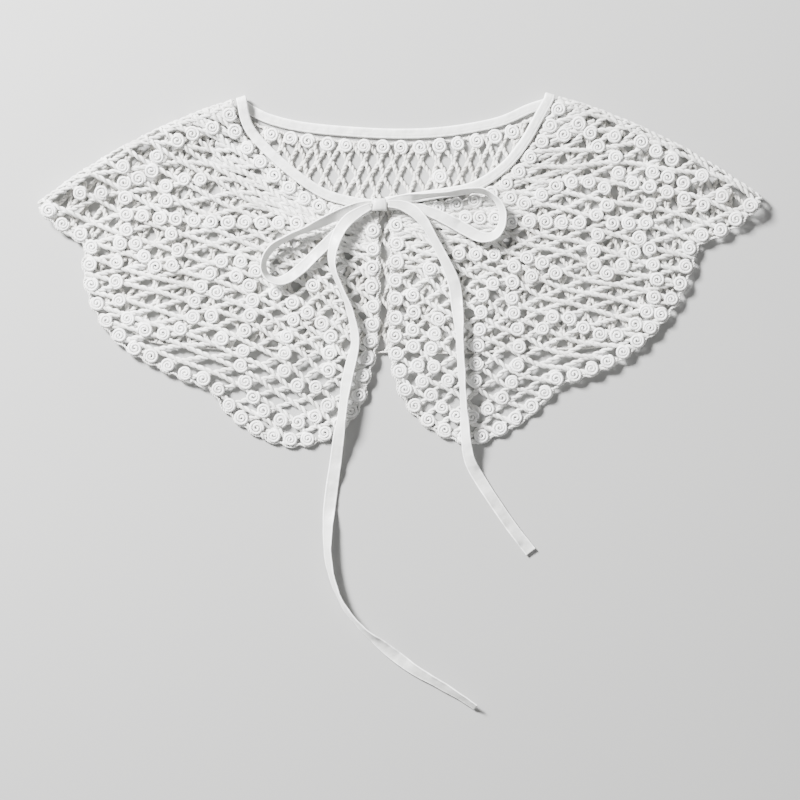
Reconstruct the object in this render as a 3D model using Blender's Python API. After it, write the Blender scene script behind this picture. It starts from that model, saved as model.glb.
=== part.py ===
"""Rosette lace collar, laid flat and face up with its fronts folded over its back.

The back panel lies on the surface at z = 0. Each front panel leaves it round a shoulder fold, lies on it, and comes
down to the surface past its hem. A folded binding closes the neck edge, and a tape is tied there in a bow with two
free tails. +X is to the right as the collar is seen, +Y points to the back of the neck and +Z up off the surface.
Sizes are in millimetres and angles in degrees. MM turns a length into metres.
"""
import math
from collections import namedtuple
from dataclasses import dataclass

import bmesh
import bpy
from mathutils import Vector
from mathutils.geometry import delaunay_2d_cdt

MM = 0.001

# Cloth
WALL = 1.6
SEAM = 0.3
LAYER_UNDER = WALL + SEAM
FOLD_RADIUS = 2.7
FOLD_CENTRE = FOLD_RADIUS + WALL / 2
FOLD_REACH = FOLD_RADIUS + WALL / 2
FOLD_FALL = 25.0
FOLD_STEPS = 4
FOLD_COLUMNS = 14
TIP_TAPER = 0.25
DROP_TOP = -62.0
DROP_FOOT = -84.0
EDGE_STEP = 9.0

# Binding and tape
BINDING_WIDTH = 6.0
BINDING_RISE = 0.5
TAPE_THICKNESS = 1.2
TAPE_STEP = 6.0
KNOT_SIZE = (9.2, 8.0, 4.8)
KNOT_CENTRE = (-12.0, 38.8, 6.8)
KNOT_ROUND = 2.0

# Rosettes
ROSETTE_RADIUS = 4.3
ROSETTE_SIDES = 6
ROSETTE_SPACING = 10.4
ROSETTE_CLEARANCE = 8.8
ROSETTE_INSET = 5.0
ROSETTE_LEEWAY = 0.4
ROSETTE_RISE = 1.2
ROSETTE_SLOPE = 0.9
BACK_ROSETTE_RISE = 0.8

# Lattice of cords
Cell = namedtuple("Cell", "length width")
FRONT_CELL = Cell(16.0, 9.6)
BACK_CELL = Cell(18.4, 8.6)
CORD_WIDTH = 3.0
GAP_MARGIN = 1.7
GAP_MIN_AREA = 8.0
DENSE_WIDTH = 21.0
LOOP_REACH = 40.0
FRONT_GAPS = 98
BACK_GAPS = 78

Point = namedtuple("Point", "x y")
Stretch = namedtuple("Stretch", "x y bulge")
Row = namedtuple("Row", "x0 y0 x1 y1 bulge")
Slope = namedtuple("Slope", "y rise")
Reach = namedtuple("Reach", "along x")
Tape = namedtuple("Tape", "x y rest tilt width")

# Neck edge of each front, from the shoulder to the knot
NECK_LEFT = [Point(-87.0, 85.5), Point(-69.0, 66.3), Point(-48.0, 50.6), Point(-33.0, 45.0), Point(-12.4, 41.7)]
NECK_RIGHT = [Point(81.0, 94.0), Point(72.0, 78.3), Point(60.0, 63.8), Point(42.0, 52.6), Point(18.0, 48.0),
              Point(-9.0, 43.8)]
NECK_BACK = [Point(-88.6, 99.2), Point(-78.0, 93.9), Point(-60.0, 89.4), Point(-34.8, 86.6), Point(-3.0, 85.0),
             Point(26.4, 86.2), Point(57.0, 91.6), Point(75.6, 99.4)]

# Hem and front edge of each front, from the shoulder tip to the knot; a bulge stands out from the panel
HEM_LEFT = [Stretch(-189.6, 14.7, 2.2), Stretch(-151.2, -56.1, 14.2), Stretch(-114.6, -71.7, 1.2),
            Stretch(-66.0, -106.5, 7.2), Stretch(-17.4, -64.5, 13.2), Stretch(-11.4, -24.3, 1.6),
            Stretch(-11.4, 35.2, 0.0)]
HEM_RIGHT = [Stretch(179.4, 14.7, 4.2), Stretch(96.0, -69.3, 18.6), Stretch(45.0, -105.3, 5.4),
             Stretch(-4.2, -65.7, 10.2), Stretch(-7.8, -28.5, 1.2), Stretch(-6.6, 38.0, 0.0)]
HEM_BACK = [Stretch(-184.8, 11.1, 1.0), Stretch(-150.0, -44.7, 10.0), Stretch(-78.0, -48.6, 2.0),
            Stretch(0.0, -50.4, 2.0), Stretch(78.0, -48.6, 2.0), Stretch(138.0, -45.0, 2.0),
            Stretch(174.0, 11.1, 6.0)]

# Rows of rosettes inside each front, beside the ones that follow its edges
ROWS_LEFT = [
    Row(-167, 16, -163, -29, 5), Row(-162, -30, -131, -35, 5), Row(-158, 16, -146, 2, 1),
    Row(-136, 3, -136, 3, 0), Row(-166, 71, -163, 24, 0), Row(-154, 32, -62, 28, 1),
    Row(-140, 50, -140, 42, 0), Row(-136, 22, -133, 12, 0), Row(-129, 54, -119, 54, 0),
    Row(-149, 59, -157, 54, 0), Row(-145, 68, -145, 68, 0), Row(-140, 81, -133, 77, 0),
    Row(-118, 90, -112, 85, 0), Row(-203, 45, -178, 46, 0), Row(-124, -28, -107, 5, -4),
    Row(-106, 6, -86, -1, -3), Row(-98, -4, -94, -48, 17), Row(-95, -57, -82, -84, 2),
    Row(-81, -85, -43, -81, 8), Row(-90, -9, -93, -36, -3), Row(-74, -14, -47, -32, -1),
    Row(-41, -40, -43, -60, 0), Row(-64, -30, -69, -60, 2), Row(-61, -69, -50, -70, 0),
    Row(-52, -9, -52, -9, 0),
]
ROWS_RIGHT = [
    Row(67, 29, 147, 28, 0), Row(35, 10, 56, 9, 0), Row(68, 2, 70, -35, 2), Row(77, -40, 91, -28, 2),
    Row(101, -29, 130, -39, 3), Row(132, -38, 154, -6, 6), Row(76, 7, 93, -2, -2), Row(79, -4, 79, -4, 0),
    Row(49, -15, 45, -66, 0), Row(56, -8, 56, -8, 0), Row(116, 12, 116, 3, 0), Row(124, -2, 133, 3, 0),
    Row(118, 21, 118, 21, 0), Row(143, 19, 151, 3, 0), Row(140, 12, 140, 12, 0), Row(8, -15, 8, -46, 0),
    Row(18, 1, 18, 1, 0), Row(23, -29, 19, -47, 0), Row(11, -57, 34, -87, 5), Row(20, -58, 29, -66, 0),
    Row(43, -88, 71, -46, 9), Row(65, 45, 74, 40, 0), Row(85, 45, 122, 49, -6), Row(124, 39, 118, 33, 0),
    Row(131, 58, 139, 52, 0), Row(149, 50, 181, 39, 0), Row(192, 44, 201, 52, 0), Row(149, 39, 149, 39, 0),
    Row(151, 58, 169, 52, 0), Row(180, 56, 180, 56, 0), Row(79, 69, 92, 86, 0), Row(95, 97, 105, 98, 0),
    Row(98, 81, 98, 81, 0), Row(107, 86, 118, 74, -2), Row(128, 80, 129, 67, 0), Row(144, 76, 162, 66, 0),
    Row(39, 31.5, 57.2, 31, 0),
]
ROWS_BACK = [Row(24, 56, 24, 56, 0)]

# How the cords' rows rise towards the tip, by their height at the middle of a front
SLOPES = [Slope(90, 0.50), Slope(60, 0.32), Slope(30, 0.08), Slope(0, 0.0), Slope(-40, 0.08), Slope(-100, 0.25)]
LATTICE_MIDDLE = 110.0
LATTICE_WAVE = 1.1
BACK_LATTICE_TOP = 84.0
BACK_LATTICE_FAN = 0.002

# How the cells lengthen from the centre front towards the tip
REACHES = [Reach(300, 561), Reach(110, 143), Reach(95, 110), Reach(80, 84), Reach(60, 60), Reach(-300, -300)]

# Tape routes: rest is the height under the tape's lowest edge, a positive tilt lifts its left edge
LOOP_LEFT = [
    Tape(-17.0, 39.6, 4.9, -6, 3.4), Tape(-22.5, 38.5, 4.9, -14, 5.0), Tape(-30.0, 35.8, 5.0, -24, 6.4),
    Tape(-39.7, 31.4, 5.0, -38, 7.0), Tape(-51.0, 26.0, 5.0, -54, 7.0), Tape(-59.2, 22.6, 5.0, -66, 7.0),
    Tape(-67.5, 18.7, 5.0, -70, 7.0), Tape(-75.2, 13.9, 5.0, -68, 7.0), Tape(-80.2, 7.6, 5.0, -64, 7.0),
    Tape(-81.4, 1.0, 5.0, -60, 7.0), Tape(-78.6, -4.6, 5.0, -54, 7.0), Tape(-72.6, -6.8, 5.0, -46, 7.0),
    Tape(-65.8, -4.4, 5.0, -32, 7.0), Tape(-58.6, 1.2, 5.0, -18, 7.0), Tape(-51.6, 8.0, 5.0, -12, 6.8),
    Tape(-45.0, 14.6, 5.0, -7, 6.4), Tape(-39.6, 20.4, 5.0, -4, 5.8), Tape(-33.6, 26.0, 5.0, -3, 5.2),
    Tape(-28.0, 30.4, 5.0, -3, 4.4), Tape(-22.4, 33.6, 5.0, -3, 3.8), Tape(-17.0, 35.8, 5.0, -3, 3.0),
]
LOOP_RIGHT = [
    Tape(-7.0, 41.0, 4.5, 4, 3.2), Tape(0.0, 42.4, 4.5, 20, 4.6), Tape(7.5, 43.2, 4.7, 48, 6.0),
    Tape(19.4, 44.4, 5.0, 70, 7.0), Tape(31.8, 45.6, 5.0, 72, 7.0), Tape(41.8, 47.0, 5.0, 70, 7.0),
    Tape(49.2, 46.8, 5.0, 68, 7.0), Tape(55.2, 43.8, 5.0, 66, 7.0), Tape(59.8, 38.4, 5.0, 62, 7.0),
    Tape(61.3, 31.4, 5.0, 58, 7.0), Tape(59.8, 24.6, 5.0, 54, 7.0), Tape(55.4, 20.0, 5.0, 42, 7.0),
    Tape(48.6, 19.4, 5.0, 20, 7.0), Tape(41.0, 23.0, 5.0, 4, 7.0), Tape(32.0, 28.0, 5.0, 0, 7.0),
    Tape(22.0, 33.0, 5.0, 0, 6.4), Tape(12.0, 36.6, 5.0, 0, 5.2), Tape(2.5, 37.6, 4.8, 0, 3.8),
    Tape(-7.0, 37.2, 4.8, 0, 3.0),
]
TAIL_LEFT = [
    Tape(-17.6, 37.8, 7.3, 0, 4.0), Tape(-24.0, 34.6, 7.3, 3, 5.6), Tape(-31.0, 29.6, 7.3, 6, 7.0),
    Tape(-36.2, 22.6, 7.4, 10, 7.0), Tape(-39.6, 13.5, 7.4, 34, 7.0), Tape(-40.5, 4.5, 6.0, 60, 7.0),
    Tape(-38.2, -4.0, 5.2, 66, 7.0), Tape(-35.0, -11.4, 5.0, 68, 7.0), Tape(-31.6, -19.2, 5.0, 66, 7.0),
    Tape(-28.8, -28.5, 5.0, 60, 7.0), Tape(-27.0, -38.0, 5.0, 48, 7.0), Tape(-26.9, -46.0, 5.0, 38, 7.0),
    Tape(-29.4, -56.1, 5.0, 30, 7.0), Tape(-32.4, -70.0, 4.7, 34, 7.0), Tape(-34.6, -86.7, 3.6, 40, 7.0),
    Tape(-36.8, -101.1, 3.2, 20, 7.0), Tape(-38.4, -113.5, 1.2, 8, 7.2), Tape(-40.8, -129.9, 0.1, 0, 7.4),
    Tape(-42.6, -144.9, 0.0, 12, 7.2), Tape(-43.4, -158.7, 0.0, 35, 7.0), Tape(-43.0, -172.0, 0.0, 58, 7.0),
    Tape(-39.6, -187.5, 0.0, 62, 7.0), Tape(-33.0, -201.9, 0.0, 70, 7.0), Tape(-23.0, -214.0, 0.0, 66, 7.0),
    Tape(-13.6, -222.2, 0.0, 35, 7.0), Tape(-2.4, -231.4, 0.0, 6, 7.0), Tape(9.0, -239.6, 0.0, 12, 6.6),
    Tape(23.0, -247.6, 0.0, 30, 6.0), Tape(36.0, -255.4, 0.0, 45, 5.4), Tape(45.6, -261.9, 0.0, 40, 5.0),
]
TAIL_RIGHT = [
    Tape(-7.0, 39.2, 7.2, 0, 4.0), Tape(0.0, 38.6, 7.2, 4, 5.6), Tape(7.0, 35.6, 6.9, 12, 7.0),
    Tape(13.2, 29.8, 6.4, 30, 7.0), Tape(17.9, 22.5, 5.6, 48, 7.0), Tape(22.3, 14.0, 5.0, 50, 7.0),
    Tape(26.9, 5.1, 5.0, 36, 7.0), Tape(30.6, -3.4, 5.0, 16, 7.2), Tape(32.8, -10.3, 5.0, 4, 7.4),
    Tape(33.8, -18.9, 5.0, 12, 7.2), Tape(35.2, -33.0, 5.0, 40, 7.0), Tape(36.0, -49.5, 5.0, 58, 7.0),
    Tape(37.2, -68.1, 4.8, 60, 7.0), Tape(38.4, -86.7, 3.6, 55, 7.0), Tape(39.4, -101.0, 3.2, 40, 7.0),
    Tape(42.0, -114.5, 1.2, 15, 7.0), Tape(49.2, -127.5, 0.1, 0, 7.0), Tape(58.2, -141.3, 0.0, -20, 7.0),
    Tape(67.6, -154.8, 0.0, -12, 7.0), Tape(78.6, -168.9, 0.0, 0, 7.0),
]

Finish = namedtuple("Finish", "name colour roughness")
LACE = Finish("ivory cotton lace", (0.86, 0.86, 0.83, 1.0), 0.85)
POPLIN = Finish("white poplin binding", (0.9, 0.9, 0.88, 1.0), 0.6)
SATIN = Finish("white satin tape", (0.92, 0.92, 0.9, 1.0), 0.4)


def smoothstep(value):
    """Ease from 0 to 1 as value goes from 0 to 1."""
    value = min(1.0, max(0.0, value))
    return value * value * (3.0 - 2.0 * value)


def blend_table(rows, at):
    """Read the second column of a table whose first column falls from row to row."""
    if at >= rows[0][0]:
        return rows[0][1]
    for (high, upper), (low, lower) in zip(rows, rows[1:]):
        if at >= low:
            return lower + (upper - lower) * (at - low) / (high - low)
    return rows[-1][1]


def bowed(start, end, bulge, step):
    """Points after start up to end, on the arc that stands bulge out to the right of the way."""
    chord = math.dist(start, end)
    count = max(1, round(chord / step))
    along = ((end[0] - start[0]) / chord, (end[1] - start[1]) / chord)
    out = (along[1], -along[0])
    points = []
    for index in range(1, count + 1):
        travel = index / count - 0.5
        offset = 0.0
        if bulge:
            radius = (chord * chord / 4 + bulge * bulge) / (2 * abs(bulge))
            half_angle = math.asin(chord / 2 / radius)
            angle = 2 * travel * half_angle
            offset = math.copysign(radius * math.cos(angle) - radius + abs(bulge), bulge)
            travel = radius * math.sin(angle) / chord
        points.append((
            (start[0] + end[0]) / 2 + along[0] * travel * chord + out[0] * offset,
            (start[1] + end[1]) / 2 + along[1] * travel * chord + out[1] * offset,
        ))
    return points


def smooth_line(points, per_span):
    """Sample the smooth curve through rows of numbers, which may be points, heights and angles alike."""
    line = []
    for index in range(len(points) - 1):
        before = points[max(0, index - 1)]
        first, second = points[index], points[index + 1]
        after = points[min(len(points) - 1, index + 2)]
        for part in range(per_span):
            t = part / per_span
            line.append(tuple(
                0.5 * (2 * b + (c - a) * t + (2 * a - 5 * b + 4 * c - d) * t ** 2 + (3 * b - a - 3 * c + d) * t ** 3)
                for a, b, c, d in zip(before, first, second, after)
            ))
    line.append(tuple(points[-1]))
    return line


def offset_line(points, distance):
    """Move an open line to the right of its way by a distance."""
    moved = []
    for index, (x, y) in enumerate(points):
        x0, y0 = points[max(0, index - 1)]
        x1, y1 = points[min(len(points) - 1, index + 1)]
        length = math.hypot(x1 - x0, y1 - y0)
        moved.append((x + (y1 - y0) / length * distance, y - (x1 - x0) / length * distance))
    return moved


def inside(point, polygon):
    """Tell whether a point lies in a polygon."""
    x, y = point
    found = False
    for (x0, y0), (x1, y1) in zip(polygon, polygon[1:] + polygon[:1]):
        if (y0 > y) != (y1 > y) and x < x0 + (y - y0) / (y1 - y0) * (x1 - x0):
            found = not found
    return found


def distance_to_line(point, line):
    """Shortest distance from a point to a line of points."""
    x, y = point
    best = math.inf
    for (x0, y0), (x1, y1) in zip(line, line[1:]):
        dx, dy = x1 - x0, y1 - y0
        share = min(1.0, max(0.0, ((x - x0) * dx + (y - y0) * dy) / (dx * dx + dy * dy)))
        best = min(best, math.hypot(x - x0 - share * dx, y - y0 - share * dy))
    return best


def area(polygon):
    """Signed area of a polygon, positive where it runs anticlockwise."""
    return sum(x0 * y1 - x1 * y0 for (x0, y0), (x1, y1) in zip(polygon, polygon[1:] + polygon[:1])) / 2


@dataclass
class Fold:
    """Shoulder fold: an arc from the neck to the tip, round which the front panel turns under to the back."""

    neck: Point
    tip: Point
    bulge: float
    side: int

    def __post_init__(self):
        chord = math.dist(self.neck, self.tip)
        outline_radius = (chord * chord / 4 + self.bulge ** 2) / (2 * self.bulge)
        along = ((self.tip.x - self.neck.x) / chord, (self.tip.y - self.neck.y) / chord)
        down = (-along[1] * self.side, along[0] * self.side)
        drop = outline_radius - self.bulge
        self.x = (self.neck.x + self.tip.x) / 2 + down[0] * drop
        self.y = (self.neck.y + self.tip.y) / 2 + down[1] * drop
        self.radius = outline_radius - FOLD_REACH
        self.neck_angle = math.atan2(self.neck.y - self.y, self.neck.x - self.x)
        self.tip_angle = math.atan2(self.tip.y - self.y, self.tip.x - self.x)

    def at(self, past, from_neck):
        """Point in the flat cut: past the fold line, and along it from the neck."""
        angle = self.neck_angle + self.side * from_neck / self.radius
        return (self.x + (self.radius + past) * math.cos(angle), self.y + (self.radius + past) * math.sin(angle))

    def length(self):
        """Length of the fold line."""
        return abs(self.tip_angle - self.neck_angle) * self.radius

    def past(self, x, y):
        """How far a point of the flat cut lies past the fold line."""
        return math.hypot(x - self.x, y - self.y) - self.radius


FOLD_LEFT = Fold(Point(-92.4, 104.7), Point(-219.0, 38.7), 7.0, 1)
FOLD_RIGHT = Fold(Point(87.0, 106.5), Point(218.6, 42.3), 7.0, -1)
WRAP = math.pi * FOLD_RADIUS


def lift_front(fold, x, y, offset):
    """Place a point of a front's flat cut, at an offset from the middle of its wall."""
    past = fold.past(x, y)
    if past > 0:
        turn = past / FOLD_RADIUS
        share = (fold.radius + (FOLD_RADIUS + offset) * math.sin(turn)) / (fold.radius + past)
        height = FOLD_CENTRE + (FOLD_RADIUS + offset) * math.cos(turn)
        return Vector((fold.x + (x - fold.x) * share, fold.y + (y - fold.y) * share, height)) * MM
    crown = FOLD_CENTRE + FOLD_RADIUS - WALL / 2 - LAYER_UNDER
    under = crown * (1 - smoothstep(-past / FOLD_FALL))
    under += LAYER_UNDER * smoothstep((y - DROP_FOOT) / (DROP_TOP - DROP_FOOT))
    return Vector((x, y, under + WALL / 2 + offset)) * MM


def lift_back(x, y, offset):
    """Place a point of the back, at an offset from the middle of its wall."""
    return Vector((x, y, WALL / 2 + offset)) * MM


def lattice_front(side, along, across):
    """Point of a front's lattice: along the cords' rows from the centre front, and across them."""
    x = blend_table(REACHES, along)
    y = across + blend_table(SLOPES, across) * (x - LATTICE_MIDDLE)
    x += LATTICE_WAVE * math.sin(0.13 * along + 0.21 * across)
    y += LATTICE_WAVE * math.sin(0.11 * along - 0.17 * across)
    return (side * x, y)


def lattice_back(along, across):
    """Point of the back's lattice: down from the neck, and across."""
    x = across * (1 + BACK_LATTICE_FAN * along) + LATTICE_WAVE * math.sin(0.19 * along + 0.13 * across)
    return (x, BACK_LATTICE_TOP - along)


def opening_between(lattice, cell, along, across):
    """Open rhomb between four cords of the lattice."""
    length = cell.length * math.dist(lattice(along - 1, across), lattice(along + 1, across)) / 2
    half = math.atan2(cell.width, length)
    reach = cell.length / 2 - CORD_WIDTH / 2 / math.sin(half) * cell.length / length
    rise = cell.width / 2 - CORD_WIDTH / 2 / math.cos(half)
    corners = ((reach, 0), (0, rise), (-reach, 0), (0, -rise))
    polygon = [lattice(along + dx, across + dy) for dx, dy in corners]
    return polygon if area(polygon) > 0 else polygon[::-1]


def clip(polygon, point, way):
    """Keep the part of a convex polygon that lies past a point, the way given."""
    kept = []
    depth = [(x - point[0]) * way[0] + (y - point[1]) * way[1] for x, y in polygon]
    for index, here in enumerate(polygon):
        after = polygon[(index + 1) % len(polygon)]
        d0, d1 = depth[index], depth[(index + 1) % len(polygon)]
        if d0 >= 0:
            kept.append(here)
        if (d0 >= 0) != (d1 >= 0):
            share = d0 / (d0 - d1)
            kept.append((here[0] + (after[0] - here[0]) * share, here[1] + (after[1] - here[1]) * share))
    return [p for index, p in enumerate(kept) if math.dist(p, kept[index - 1]) > 0.7]


def gaps(lattice, cell, outline, rosettes, count, allowed, rank):
    """Gaps of a lattice that lie clear of the panel's edge and of its rosettes, those of highest rank first."""
    reach = ROSETTE_RADIUS + GAP_MARGIN / 2
    edge = outline + outline[:1]
    found = []
    for column in range(-34, 35):
        for row in range(-60, 61):
            if (column + row) % 2:
                continue
            polygon = opening_between(lattice, cell, column * cell.length / 2, row * cell.width / 2)
            middle = (sum(p[0] for p in polygon) / 4, sum(p[1] for p in polygon) / 4)
            if not inside(middle, outline) or not allowed(polygon):
                continue
            span = max(math.dist(middle, point) for point in polygon)
            for centre in rosettes:
                away = math.dist(middle, centre)
                if away < reach:
                    polygon = []
                if polygon and away < reach + span:
                    way = ((middle[0] - centre[0]) / away, (middle[1] - centre[1]) / away)
                    polygon = clip(polygon, (centre[0] + way[0] * reach, centre[1] + way[1] * reach), way)
            if len(polygon) < 3 or area(polygon) < GAP_MIN_AREA:
                continue
            if all(inside(p, outline) and distance_to_line(p, edge) > GAP_MARGIN for p in polygon):
                found.append(polygon)
    found.sort(key=rank, reverse=True)
    return found[:count]


def row_points(row):
    """Centres of the rosettes of one row."""
    start, end = (row.x0, row.y0), (row.x1, row.y1)
    if start == end:
        return [start]
    return [start] + bowed(start, end, row.bulge, ROSETTE_SPACING)


def place_rosettes(outline, edge_rows, rows, allowed):
    """Centres of a panel's rosettes: the rows that follow its edges first, each clear of those before it."""
    placed = []
    edge = outline + outline[:1]
    for line in edge_rows + [row_points(row) for row in rows]:
        for point in line:
            clear = all(math.dist(point, other) > ROSETTE_CLEARANCE for other in placed)
            at_edge = distance_to_line(point, edge) < ROSETTE_INSET - ROSETTE_LEEWAY
            if clear and inside(point, outline) and not at_edge and allowed(point):
                placed.append(point)
    return placed


def ring(centre, radius, sides):
    """Corners of a regular polygon, anticlockwise."""
    turns = [2 * math.pi * index / sides for index in range(sides)]
    return [(centre[0] + radius * math.cos(turn), centre[1] + radius * math.sin(turn)) for turn in turns]


def triangulate(loops, lines, points):
    """Delaunay triangles over loops, crease lines and loose points, with each loop's own point numbers."""
    flat, edges, spans = [], [], []
    for loop in loops:
        first = len(flat)
        flat += loop
        edges += [(first + index, first + (index + 1) % len(loop)) for index in range(len(loop))]
        spans.append((first, len(loop)))
    for line in lines:
        first = len(flat)
        flat += line
        edges += [(first + index, first + index + 1) for index in range(len(line) - 1)]
    flat += points
    corners, _, faces, sources, _, _ = delaunay_2d_cdt([Vector(p) for p in flat], edges, [], 0, 1e-4, True)
    number = {old: new for new, olds in enumerate(sources) for old in olds}
    named = [[number[first + index] for index in range(count)] for first, count in spans]
    return [tuple(c) for c in corners], faces, named


def lace_panel(name, outline, holes, rosettes, creases, lift, rise):
    """Cloth wall over a flat cut, with its gaps cut through and its rosettes raised on the upper side."""
    bm = bmesh.new()
    bumps = [ring(centre, ROSETTE_RADIUS, ROSETTE_SIDES) for centre in rosettes]
    sides = []
    for offset, raised in ((WALL / 2, bumps), (-WALL / 2, [])):
        loose = [] if raised else list(rosettes)
        corners, faces, named = triangulate([outline] + holes + raised, creases, loose)
        verts = [bm.verts.new(lift(x, y, offset)) for x, y in corners]
        for face in faces:
            middle = (sum(corners[i][0] for i in face) / 3, sum(corners[i][1] for i in face) / 3)
            if inside(middle, outline) and not any(
                math.dist(middle, loop[0]) < LOOP_REACH and inside(middle, loop) for loop in holes + raised
            ):
                bm.faces.new([verts[i] for i in face])
        sides.append([[verts[i] for i in loop] for loop in named])
    upper, lower = sides
    raised_faces = [bm.faces.new(loop) for loop in upper[1 + len(holes):]]
    for top_loop, bottom_loop in zip(upper[:1 + len(holes)], lower):
        for index in range(len(top_loop)):
            after = (index + 1) % len(top_loop)
            bm.faces.new((top_loop[index], top_loop[after], bottom_loop[after], bottom_loop[index]))
    loose_verts = [v for v in bm.verts if not v.link_faces]
    bmesh.ops.delete(bm, geom=loose_verts, context="VERTS")
    bmesh.ops.recalc_face_normals(bm, faces=bm.faces)
    if raised_faces:
        bmesh.ops.inset_individual(
            bm, faces=raised_faces, thickness=ROSETTE_SLOPE * MM, depth=rise * MM, use_even_offset=True
        )
    return finish(name, bm, LACE, smooth=False)


def band(name, stations, finish_with):
    """Closed strip through a list of sections, each with the same number of corners."""
    bm = bmesh.new()
    rings = [[bm.verts.new(corner) for corner in section] for section in stations]
    for first, second in zip(rings, rings[1:]):
        for index in range(len(first)):
            after = (index + 1) % len(first)
            bm.faces.new((first[index], first[after], second[after], second[index]))
    bm.faces.new(rings[0][::-1])
    bm.faces.new(rings[-1])
    bmesh.ops.recalc_face_normals(bm, faces=bm.faces)
    return finish(name, bm, finish_with, smooth=False)


def binding_section(inner, outer, lift, rise):
    """Section of the folded binding: flat underneath, with both upper edges eased."""
    corners = ((0.0, -1.0), (0.0, 0.2), (0.16, 1.0), (0.84, 1.0), (1.0, 0.2), (1.0, -1.0))
    section = []
    for share, level in corners:
        x = inner[0] + (outer[0] - inner[0]) * share
        y = inner[1] + (outer[1] - inner[1]) * share
        offset = level * WALL / 2 + (rise * level if level > 0 else 0)
        section.append(lift(x, y, offset))
    return section


def front_binding(name, fold, neck):
    """Binding of one front's neck edge, from the back's edge round the fold to the knot."""
    def lift(x, y, offset):
        return lift_front(fold, x, y, offset)

    line = smooth_line([fold.at(0, 0)] + neck, 3)
    outer = offset_line(line, BINDING_WIDTH * fold.side)
    outer[0] = fold.at(0, BINDING_WIDTH)
    stations = []
    for step in range(FOLD_STEPS, 0, -1):
        past = WRAP * step / FOLD_STEPS
        stations.append(binding_section(fold.at(past, 0), fold.at(past, BINDING_WIDTH), lift, 0))
    for inner_point, outer_point in zip(line, outer):
        rise = BINDING_RISE * smoothstep(-fold.past(*inner_point) / FOLD_FALL)
        stations.append(binding_section(inner_point, outer_point, lift, rise))
    return band(name, stations, POPLIN)


def back_neck_line():
    """Neck edge of the back between the two folds."""
    ends = (FOLD_LEFT.at(-SEAM, 0), FOLD_RIGHT.at(-SEAM, 0))
    return smooth_line([ends[0]] + NECK_BACK + [ends[1]], 3)


def back_edge(width):
    """Line beside the back's neck edge at a binding's width, meeting the two folds."""
    line = offset_line(back_neck_line(), width)
    line[0] = FOLD_LEFT.at(-SEAM, width)
    line[-1] = FOLD_RIGHT.at(-SEAM, width)
    return line


def back_binding(name):
    """Binding of the back's neck edge."""
    pairs = zip(back_neck_line(), back_edge(BINDING_WIDTH))
    return band(name, [binding_section(a, b, lift_back, 0) for a, b in pairs], POPLIN)


def hem_line(start, stretches, side):
    """Points of a hem after its start."""
    line = []
    for stretch in stretches:
        line += bowed(start, (stretch.x, stretch.y), stretch.bulge * side, EDGE_STEP)
        start = (stretch.x, stretch.y)
    return line


def edge_row(line, side, allowed):
    """Rosette centres beside an edge, evenly spaced from the first place allowed."""
    dense = smooth_line(line, 6)
    row = []
    for point in offset_line(dense, -ROSETTE_INSET * side):
        if allowed(point) and (not row or math.dist(point, row[-1]) > ROSETTE_SPACING):
            row.append(point)
    return row


def front_panel(name, fold, neck, hem, rows):
    """One front: from the back's edge round the shoulder fold to its hem and its front edge."""
    side = fold.side
    width = BINDING_WIDTH + SEAM
    pasts = [WRAP * step / FOLD_STEPS for step in range(FOLD_STEPS + 1)]
    span = fold.length() - width
    def column(past, share):
        return fold.at(past, width + span * share - TIP_TAPER * past * share ** 6)

    neck_line = offset_line(smooth_line([fold.at(0, 0)] + neck, 3), width * side)[1:-1]
    hem_points = hem_line(column(0, 1), hem, side)
    outline = [column(past, 0) for past in pasts]
    outline += [column(WRAP, index / FOLD_COLUMNS) for index in range(1, FOLD_COLUMNS)]
    outline += [column(past, 1) for past in reversed(pasts)]
    outline += hem_points + neck_line[::-1]
    creases = [
        [column(past, index / FOLD_COLUMNS) for index in range(FOLD_COLUMNS + 1)] for past in pasts[:-1]
    ]
    if side < 0:
        outline.reverse()

    def clear_of_fold(point):
        return fold.past(*point) < -ROSETTE_INSET + ROSETTE_LEEWAY

    edges = [
        edge_row([column(0, 1)] + hem_points, side, clear_of_fold),
        edge_row(neck_line, -side, clear_of_fold),
    ]
    rosettes = place_rosettes(outline, edges, rows, clear_of_fold)

    def lattice(along, across):
        return lattice_front(-side, along, across)

    def open_lace(polygon):
        clear = all(fold.past(*point) < -GAP_MARGIN for point in polygon)
        return clear and distance_to_line(polygon[0], neck_line) > DENSE_WIDTH

    holes = gaps(lattice, FRONT_CELL, outline, rosettes, FRONT_GAPS, open_lace, area)

    def lift(x, y, offset):
        return lift_front(fold, x, y, offset)

    return lace_panel(name, outline, holes, rosettes, creases, lift, ROSETTE_RISE)


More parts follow.
